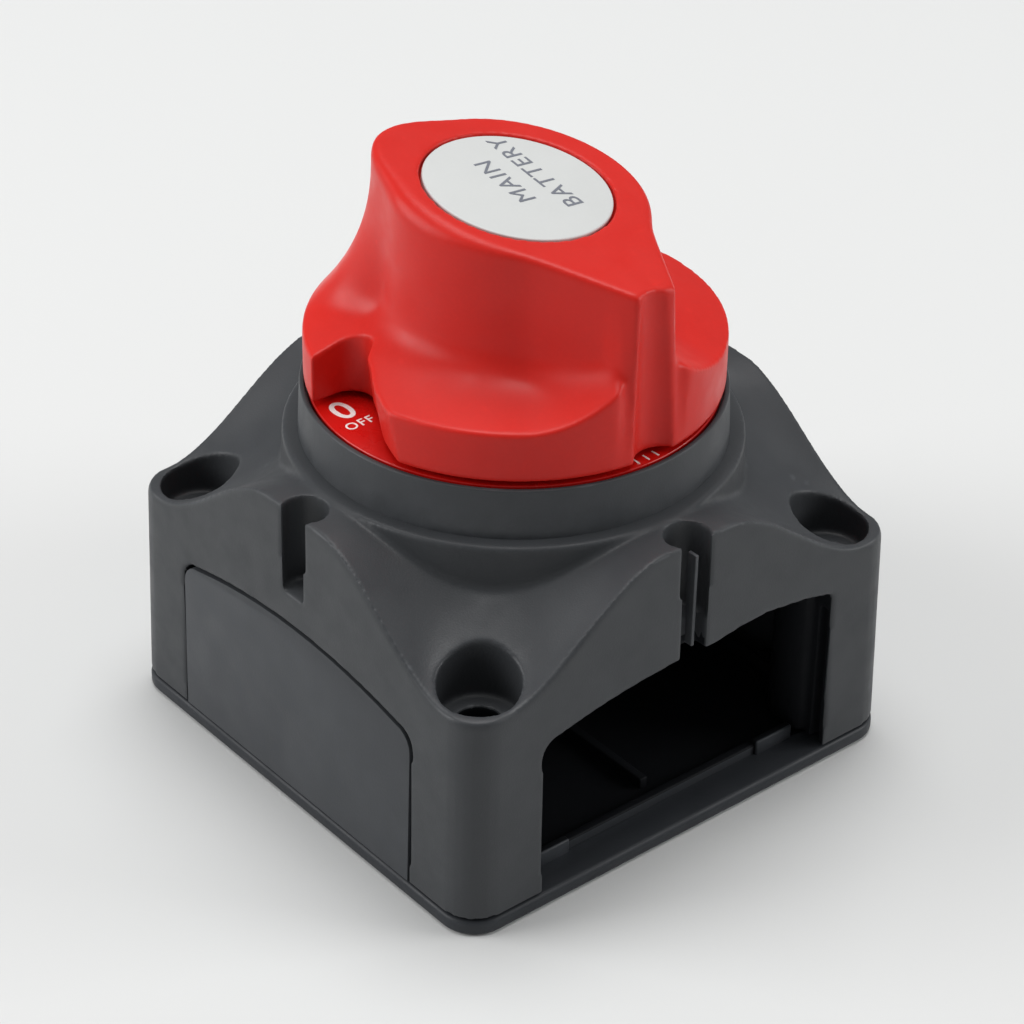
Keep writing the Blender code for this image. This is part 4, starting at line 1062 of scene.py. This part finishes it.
def threaded(name, radius, low, high, pitch, sides=40):
    """A threaded rod on the axis: a helical ridge round a core, tapered at both ends."""
    depth = THREAD_DEPTH * pitch
    rows = []
    for height in steps_between(low, high, round((high - low) / pitch * THREAD_ROWS)):
        row = []
        for step in range(sides):
            turn = (height / pitch - step / sides) % 1.0
            ridge = min(1.0, THREAD_STEEPNESS * abs(2.0 * turn - 1.0))
            reach = radius - depth * ridge
            reach = min(reach, radius - depth + min(height - low, high - height))
            row.append(polar(reach, math.tau * step / sides, height))
        rows.append(row)
    return swept(name, rows)


def make_washer(node, bore, edge=WASHER_EDGE):
    centre, outer, low, high = node_box(node)
    washer = turned(f"{node}_finished", bore, outer, (low, high), (edge, edge), sides=96)
    done(placed(washer, centre), node)


def make_spring_washer(node):
    """A split washer whose ends are sprung a little apart."""
    centre, _, low, high = node_box(node)
    outer = SPRING_WASHER_RADIUS
    half_split = math.asin(SPRING_WASHER_SPLIT / 2 / outer)
    thick = high - low - SPRING_WASHER_RISE
    sections = []
    for share in steps_between(0.0, 1.0, SPRING_WASHER_STEPS):
        angle = half_split + share * (math.tau - 2.0 * half_split)
        foot = low + share * SPRING_WASHER_RISE
        sections.append([polar(radius, angle, height)
                         for radius, height in ((STUD_BORE, foot), (outer, foot),
                                                (outer, foot + thick), (STUD_BORE, foot + thick))])
    washer = swept(f"{node}_finished", sections)
    bevel(washer, WASHER_EDGE, angle=60.0)
    done(placed(washer, centre), node)


def make_nut(node):
    """A hexagonal nut with turned chamfers and a countersunk bore."""
    centre, flat, low, high = node_box(node)
    outer = flat / math.cos(math.pi / 6)
    drop = (outer - flat) / 2
    nut = prism(f"{node}_finished", arc((0.0, 0.0), outer, 30.0, 330.0, 5), low, high)
    combine(nut, [lathe("cone", [(0.0, low), (flat, low), (outer + GAP, low + drop),
                                 (outer + GAP, high - drop), (flat, high), (0.0, high)],
                        sides=96)],
            "INTERSECT")
    mouth = STUD_BORE + COUNTERSINK
    cut(nut, lathe("bore", [(0.0, low - OVERSHOOT), (mouth + OVERSHOOT, low - OVERSHOOT),
                            (STUD_BORE, low + COUNTERSINK), (STUD_BORE, high - COUNTERSINK),
                            (mouth + OVERSHOOT, high + OVERSHOOT), (0.0, high + OVERSHOOT)],
                   sides=64))
    done(placed(nut, centre), node, smooth_angle=25.0)


def make_stud(node):
    """A square contact head over a threaded shank."""
    centre, half, low, high = node_box(node)
    stud = block(f"{node}_finished", half, half, STUD_HEAD_BOTTOM, high)
    bevel(stud, STUD_EDGE)
    join(stud, threaded("shank", STUD_RADIUS, low, STUD_HEAD_BOTTOM + OVERSHOOT, STUD_PITCH))
    done(placed(stud, centre), node)


def make_plate_screw(node):
    """A pan-head screw that points up, with a cross recess in its underside."""
    centre, head, low, high = node_box(node)
    seat = low + PLATE_SCREW_HEAD
    screw = turned(f"{node}_finished", 0.0, head, (low, seat), PLATE_SCREW_EDGES,
                   sides=64, steps=8)
    join(screw, threaded("shank", PLATE_SCREW_RADIUS, seat - OVERSHOOT, high, PLATE_SCREW_PITCH,
                         sides=24))
    cut(screw, *cross(*PLATE_SCREW_CROSS, low - OVERSHOOT, low + OVERSHOOT))
    done(placed(screw, centre), node)


def make_knob_screw():
    """The pan-head screw that holds the knob on the shaft."""
    _, head, low, high = node_box("knob_screw")
    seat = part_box("knob_washer")[1].z / MM + GAP
    screw = turned("knob_screw_finished", 0.0, head, (seat, high), KNOB_SCREW_EDGES,
                   sides=64, steps=8)
    join(screw, threaded("shank", KNOB_SCREW_RADIUS, low, seat + OVERSHOOT, KNOB_SCREW_PITCH,
                         sides=28))
    cut(screw, *cross(*KNOB_SCREW_CROSS, high - KNOB_SCREW_CROSS_DEPTH, high + OVERSHOOT))
    done(screw, "knob_screw")


def make_coil(node, wire, turns):
    """A compression spring of round wire between its node's heights."""
    centre, outer, low, high = node_box(node)
    radius = outer - wire
    start = low + wire
    sections = []
    for share in steps_between(0.0, 1.0, round(turns * COIL_STEPS)):
        angle = math.tau * turns * share
        height = start + (high - wire - start) * share
        sections.append([polar(radius + wire * math.cos(round_wire), angle,
                               height + wire * math.sin(round_wire))
                         for round_wire in round_angles(WIRE_SIDES)])
    return done(placed(swept(f"{node}_finished", sections), centre), node)


def make_rotor():
    """The shaft with its drive square, flange, contact slot and spring pockets."""
    _, outer, low, high = node_box("rotor")
    profile = rounded([(0.0, SHAFT_TOP, 0), (SHAFT_RADIUS, SHAFT_TOP, ROTOR_EDGE),
                       (SHAFT_RADIUS, ROTOR_TOP, SHAFT_FOOT_EDGE), (outer, ROTOR_TOP, ROTOR_EDGE),
                       (outer, low, ROTOR_EDGE), (0.0, low, 0)])
    rotor = lathe("rotor_finished", profile)
    drive = block("drive", DRIVE_HALF, DRIVE_HALF, SHAFT_TOP - OVERSHOOT, high)
    bevel(drive, DRIVE_EDGE)
    join(rotor, drive)
    length, width, top = BAR_SLOT
    tools = [block("slot", length, width, low - OVERSHOOT, top),
             cylinder("pocket", (0.0, 0.0), SPRING_POCKET_RADIUS, top - OVERSHOOT,
                      SPRING_POCKET_TOP),
             cylinder("screw_hole", (0.0, 0.0), KNOB_SCREW_RADIUS + GAP, SCREW_HOLE_BOTTOM,
                      high + OVERSHOOT)]
    for side in (-1, 1):
        tools.append(cylinder("ball_pocket", (0.0, side * DETENT_PLACE), BALL_POCKET_RADIUS,
                              BALL_POCKET_BOTTOM, ROTOR_TOP + OVERSHOOT))
    cut(rotor, *tools)
    done(rotor, "rotor")


def make_terminal_plate():
    """The moulded plate that carries the studs, with an insulating barrier under it."""
    _, outer, low, high = node_box("terminal_plate")
    plate = turned("terminal_plate_finished", 0.0, outer, (PLATE_BOTTOM, high),
                   (TERMINAL_PLATE_EDGE, TERMINAL_PLATE_EDGE))
    length, width = BARRIER
    barrier = block("barrier", length, width, low, PLATE_BOTTOM + OVERSHOOT)
    bevel(barrier, BARRIER_EDGE)
    join(plate, barrier)
    holes = [(f"stud_{number}", STUD_BORE) for number in (1, 2)]
    holes += [(f"plate_screw_{number}", PLATE_SCREW_RADIUS + GAP) for number in range(1, 5)]
    cut(plate, *[cylinder("hole", node_box(node)[0], radius, PLATE_BOTTOM - OVERSHOOT,
                          high + OVERSHOOT) for node, radius in holes])
    done(plate, "terminal_plate")


def make_detent_ring():
    _, outer, low, high = node_box("detent_ring")
    ring = turned("detent_ring_finished", DETENT_RING_INNER, outer, (low, high),
                  (WASHER_EDGE, WASHER_EDGE))
    dimples = []
    for quarters in range(4):
        dimple = cylinder("dimple", (DETENT_PLACE, 0.0), DIMPLE_RADIUS, low - OVERSHOOT,
                          high + OVERSHOOT, sides=32)
        dimples.append(turned_quarters(dimple, quarters))
    cut(ring, *dimples)
    done(ring, "detent_ring")


def make_ball(node):
    centre, radius, low, high = node_box(node)
    bm = bmesh.new()
    bmesh.ops.create_icosphere(bm, subdivisions=4, radius=radius)
    bmesh.ops.translate(bm, vec=(centre[0], centre[1], (low + high) / 2), verts=bm.verts)
    done(from_bmesh(f"{node}_finished", bm), node)


def make_seal():
    _, outer, low, high = node_box("shaft_seal")
    section = (high - low) / 2
    profile = arc((outer - section, (low + high) / 2), section, *FULL_SECTION)
    done(lathe("shaft_seal_finished", profile, sides=96), "shaft_seal")


def make_base_plate():
    """The base plate with its rounded lip, rails, hooks, ribs and screw holes."""
    _, _, low, high = node_box("base_plate")
    inner = BASE_HALF - CORNER_RADIUS
    outline = []
    for quarter, (side_x, side_y) in enumerate(corners()):
        outline += arc((inner * side_x, inner * side_y), CORNER_RADIUS, 90.0 * quarter,
                       90.0 * quarter + 90.0, 12)
    plate = prism("base_plate_finished", outline, low, BASE_THICKNESS)
    bevel(plate, BASE_EDGE, angle=60.0, segments=4)
    root = BASE_THICKNESS / 2
    pieces = []
    for quarters in range(4):
        rail = box("rail", (RAIL_OUTER - RAIL_WIDTH, -RAIL_HALF_LENGTH, root),
                   (RAIL_OUTER, RAIL_HALF_LENGTH, RAIL_TOP))
        pieces.append(turned_quarters(bevel(rail, RAIL_EDGE), quarters))
        for side in (-1, 1):
            place = side * HOOK_PLACE
            hook = box("hook", (RAIL_OUTER - RAIL_WIDTH / 2, place - HOOK_WIDTH / 2, root),
                       (RAIL_OUTER + HOOK_REACH, place + HOOK_WIDTH / 2, high))
            pieces.append(turned_quarters(bevel(hook, RAIL_EDGE), quarters))
    for rib in cross(RIB_HALF_LENGTH, RIB_HALF_WIDTH, root, RIB_TOP):
        pieces.append(bevel(rib, RIB_EDGE))
    join(plate, *pieces)
    cut(plate, *[cylinder("hole", place, MOUNT_HOLE_RADIUS, low - OVERSHOOT,
                          BASE_THICKNESS + OVERSHOOT) for place in mount_places()])
    done(plate, "base_plate")
    # the plate's upper faces inside the rails take the near-black plastic: painted shade under the
    # housing
    plate.data.materials.append(materials["painted_shade_plastic"])
    for face in plate.data.polygons:
        behind_rail = max(abs(face.center.x), abs(face.center.y)) < RAIL_OUTER * MM
        face.material_index = int(behind_rail and face.center.z > root * MM)


def make_hardware():
    for node, width in CLEANED_EDGES.items():
        done(bevel(copied(node, f"{node}_finished"), width), node)
    make_base_plate()
    make_rotor()
    make_terminal_plate()
    make_detent_ring()
    make_seal()
    make_washer("shaft_bush", SHAFT_HOLE_RADIUS, BUSH_EDGE)
    make_washer("knob_washer", KNOB_SCREW_RADIUS + GAP)
    make_knob_screw()
    for number in (1, 2):
        make_stud(f"stud_{number}")
        make_washer(f"stud_washer_{number}", STUD_BORE)
        make_spring_washer(f"spring_washer_{number}")
        make_nut(f"stud_nut_{number}")
        make_ball(f"detent_ball_{number}")
        spring = make_coil(f"detent_spring_{number}", DETENT_WIRE, DETENT_TURNS)
        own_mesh(spring)
    for number in range(1, 5):
        make_plate_screw(f"plate_screw_{number}")
    spring = make_coil("contact_spring", CONTACT_WIRE, CONTACT_TURNS)
    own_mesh(spring)


# ---- scene

def make_camera():
    back = Vector(CAMERA_BACK).normalized()
    level = Vector((0.0, 0.0, 1.0)).cross(back).normalized()
    upright = back.cross(level)
    right = level * math.cos(CAMERA_ROLL) + upright * math.sin(CAMERA_ROLL)
    up = upright * math.cos(CAMERA_ROLL) - level * math.sin(CAMERA_ROLL)
    data = bpy.data.cameras.new("camera")
    data.lens = CAMERA_LENS
    data.sensor_width = CAMERA_SENSOR
    data.clip_start = CAMERA_CLIP
    camera = link(bpy.data.objects.new("camera", data))
    axes = Matrix((right, up, back)).transposed().to_4x4()
    camera.matrix_world = Matrix.Translation(Vector(CAMERA_PLACE)) @ axes
    bpy.context.scene.camera = camera


def make_floor():
    bm = bmesh.new()
    bmesh.ops.create_grid(bm, x_segments=1, y_segments=1, size=FLOOR_HALF)
    floor = from_bmesh("floor", bm)
    floor.location.z = -FLOOR_DROP
    tree, shader = new_material("pale_floor")
    feed(tree, shader, Base_Color=FLOOR_COLOUR, Roughness=0.9, Specular_IOR_Level=0.1)
    floor.data.materials.append(materials["pale_floor"])


def make_lights():
    for name, (place, size, power) in LIGHTS.items():
        data = bpy.data.lights.new(name, "AREA")
        data.energy = power
        data.size = size
        light = link(bpy.data.objects.new(name, data))
        light.location = place
        aim = Vector(LIGHT_TARGET) - Vector(place)
        light.rotation_euler = aim.to_track_quat("-Z", "Y").to_euler()
    bpy.context.scene.view_settings.view_transform = "Standard"
    world = bpy.data.worlds.new("studio")
    bpy.context.scene.world = world
    world.use_nodes = True
    tree = world.node_tree
    feed(tree, tree.nodes["Background"], Color=WORLD_COLOUR, Strength=WORLD_STRENGTH)


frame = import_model()
slots = {row["node"]: row["material_slot"] for row in frame["record"]["subparts"]}
materials = {}
make_camera()
make_floor()
make_lights()
make_materials()
make_shell()
make_collar()
make_knob()
make_label()
make_label_print()
make_dial()
make_slot_rib()
make_hardware()
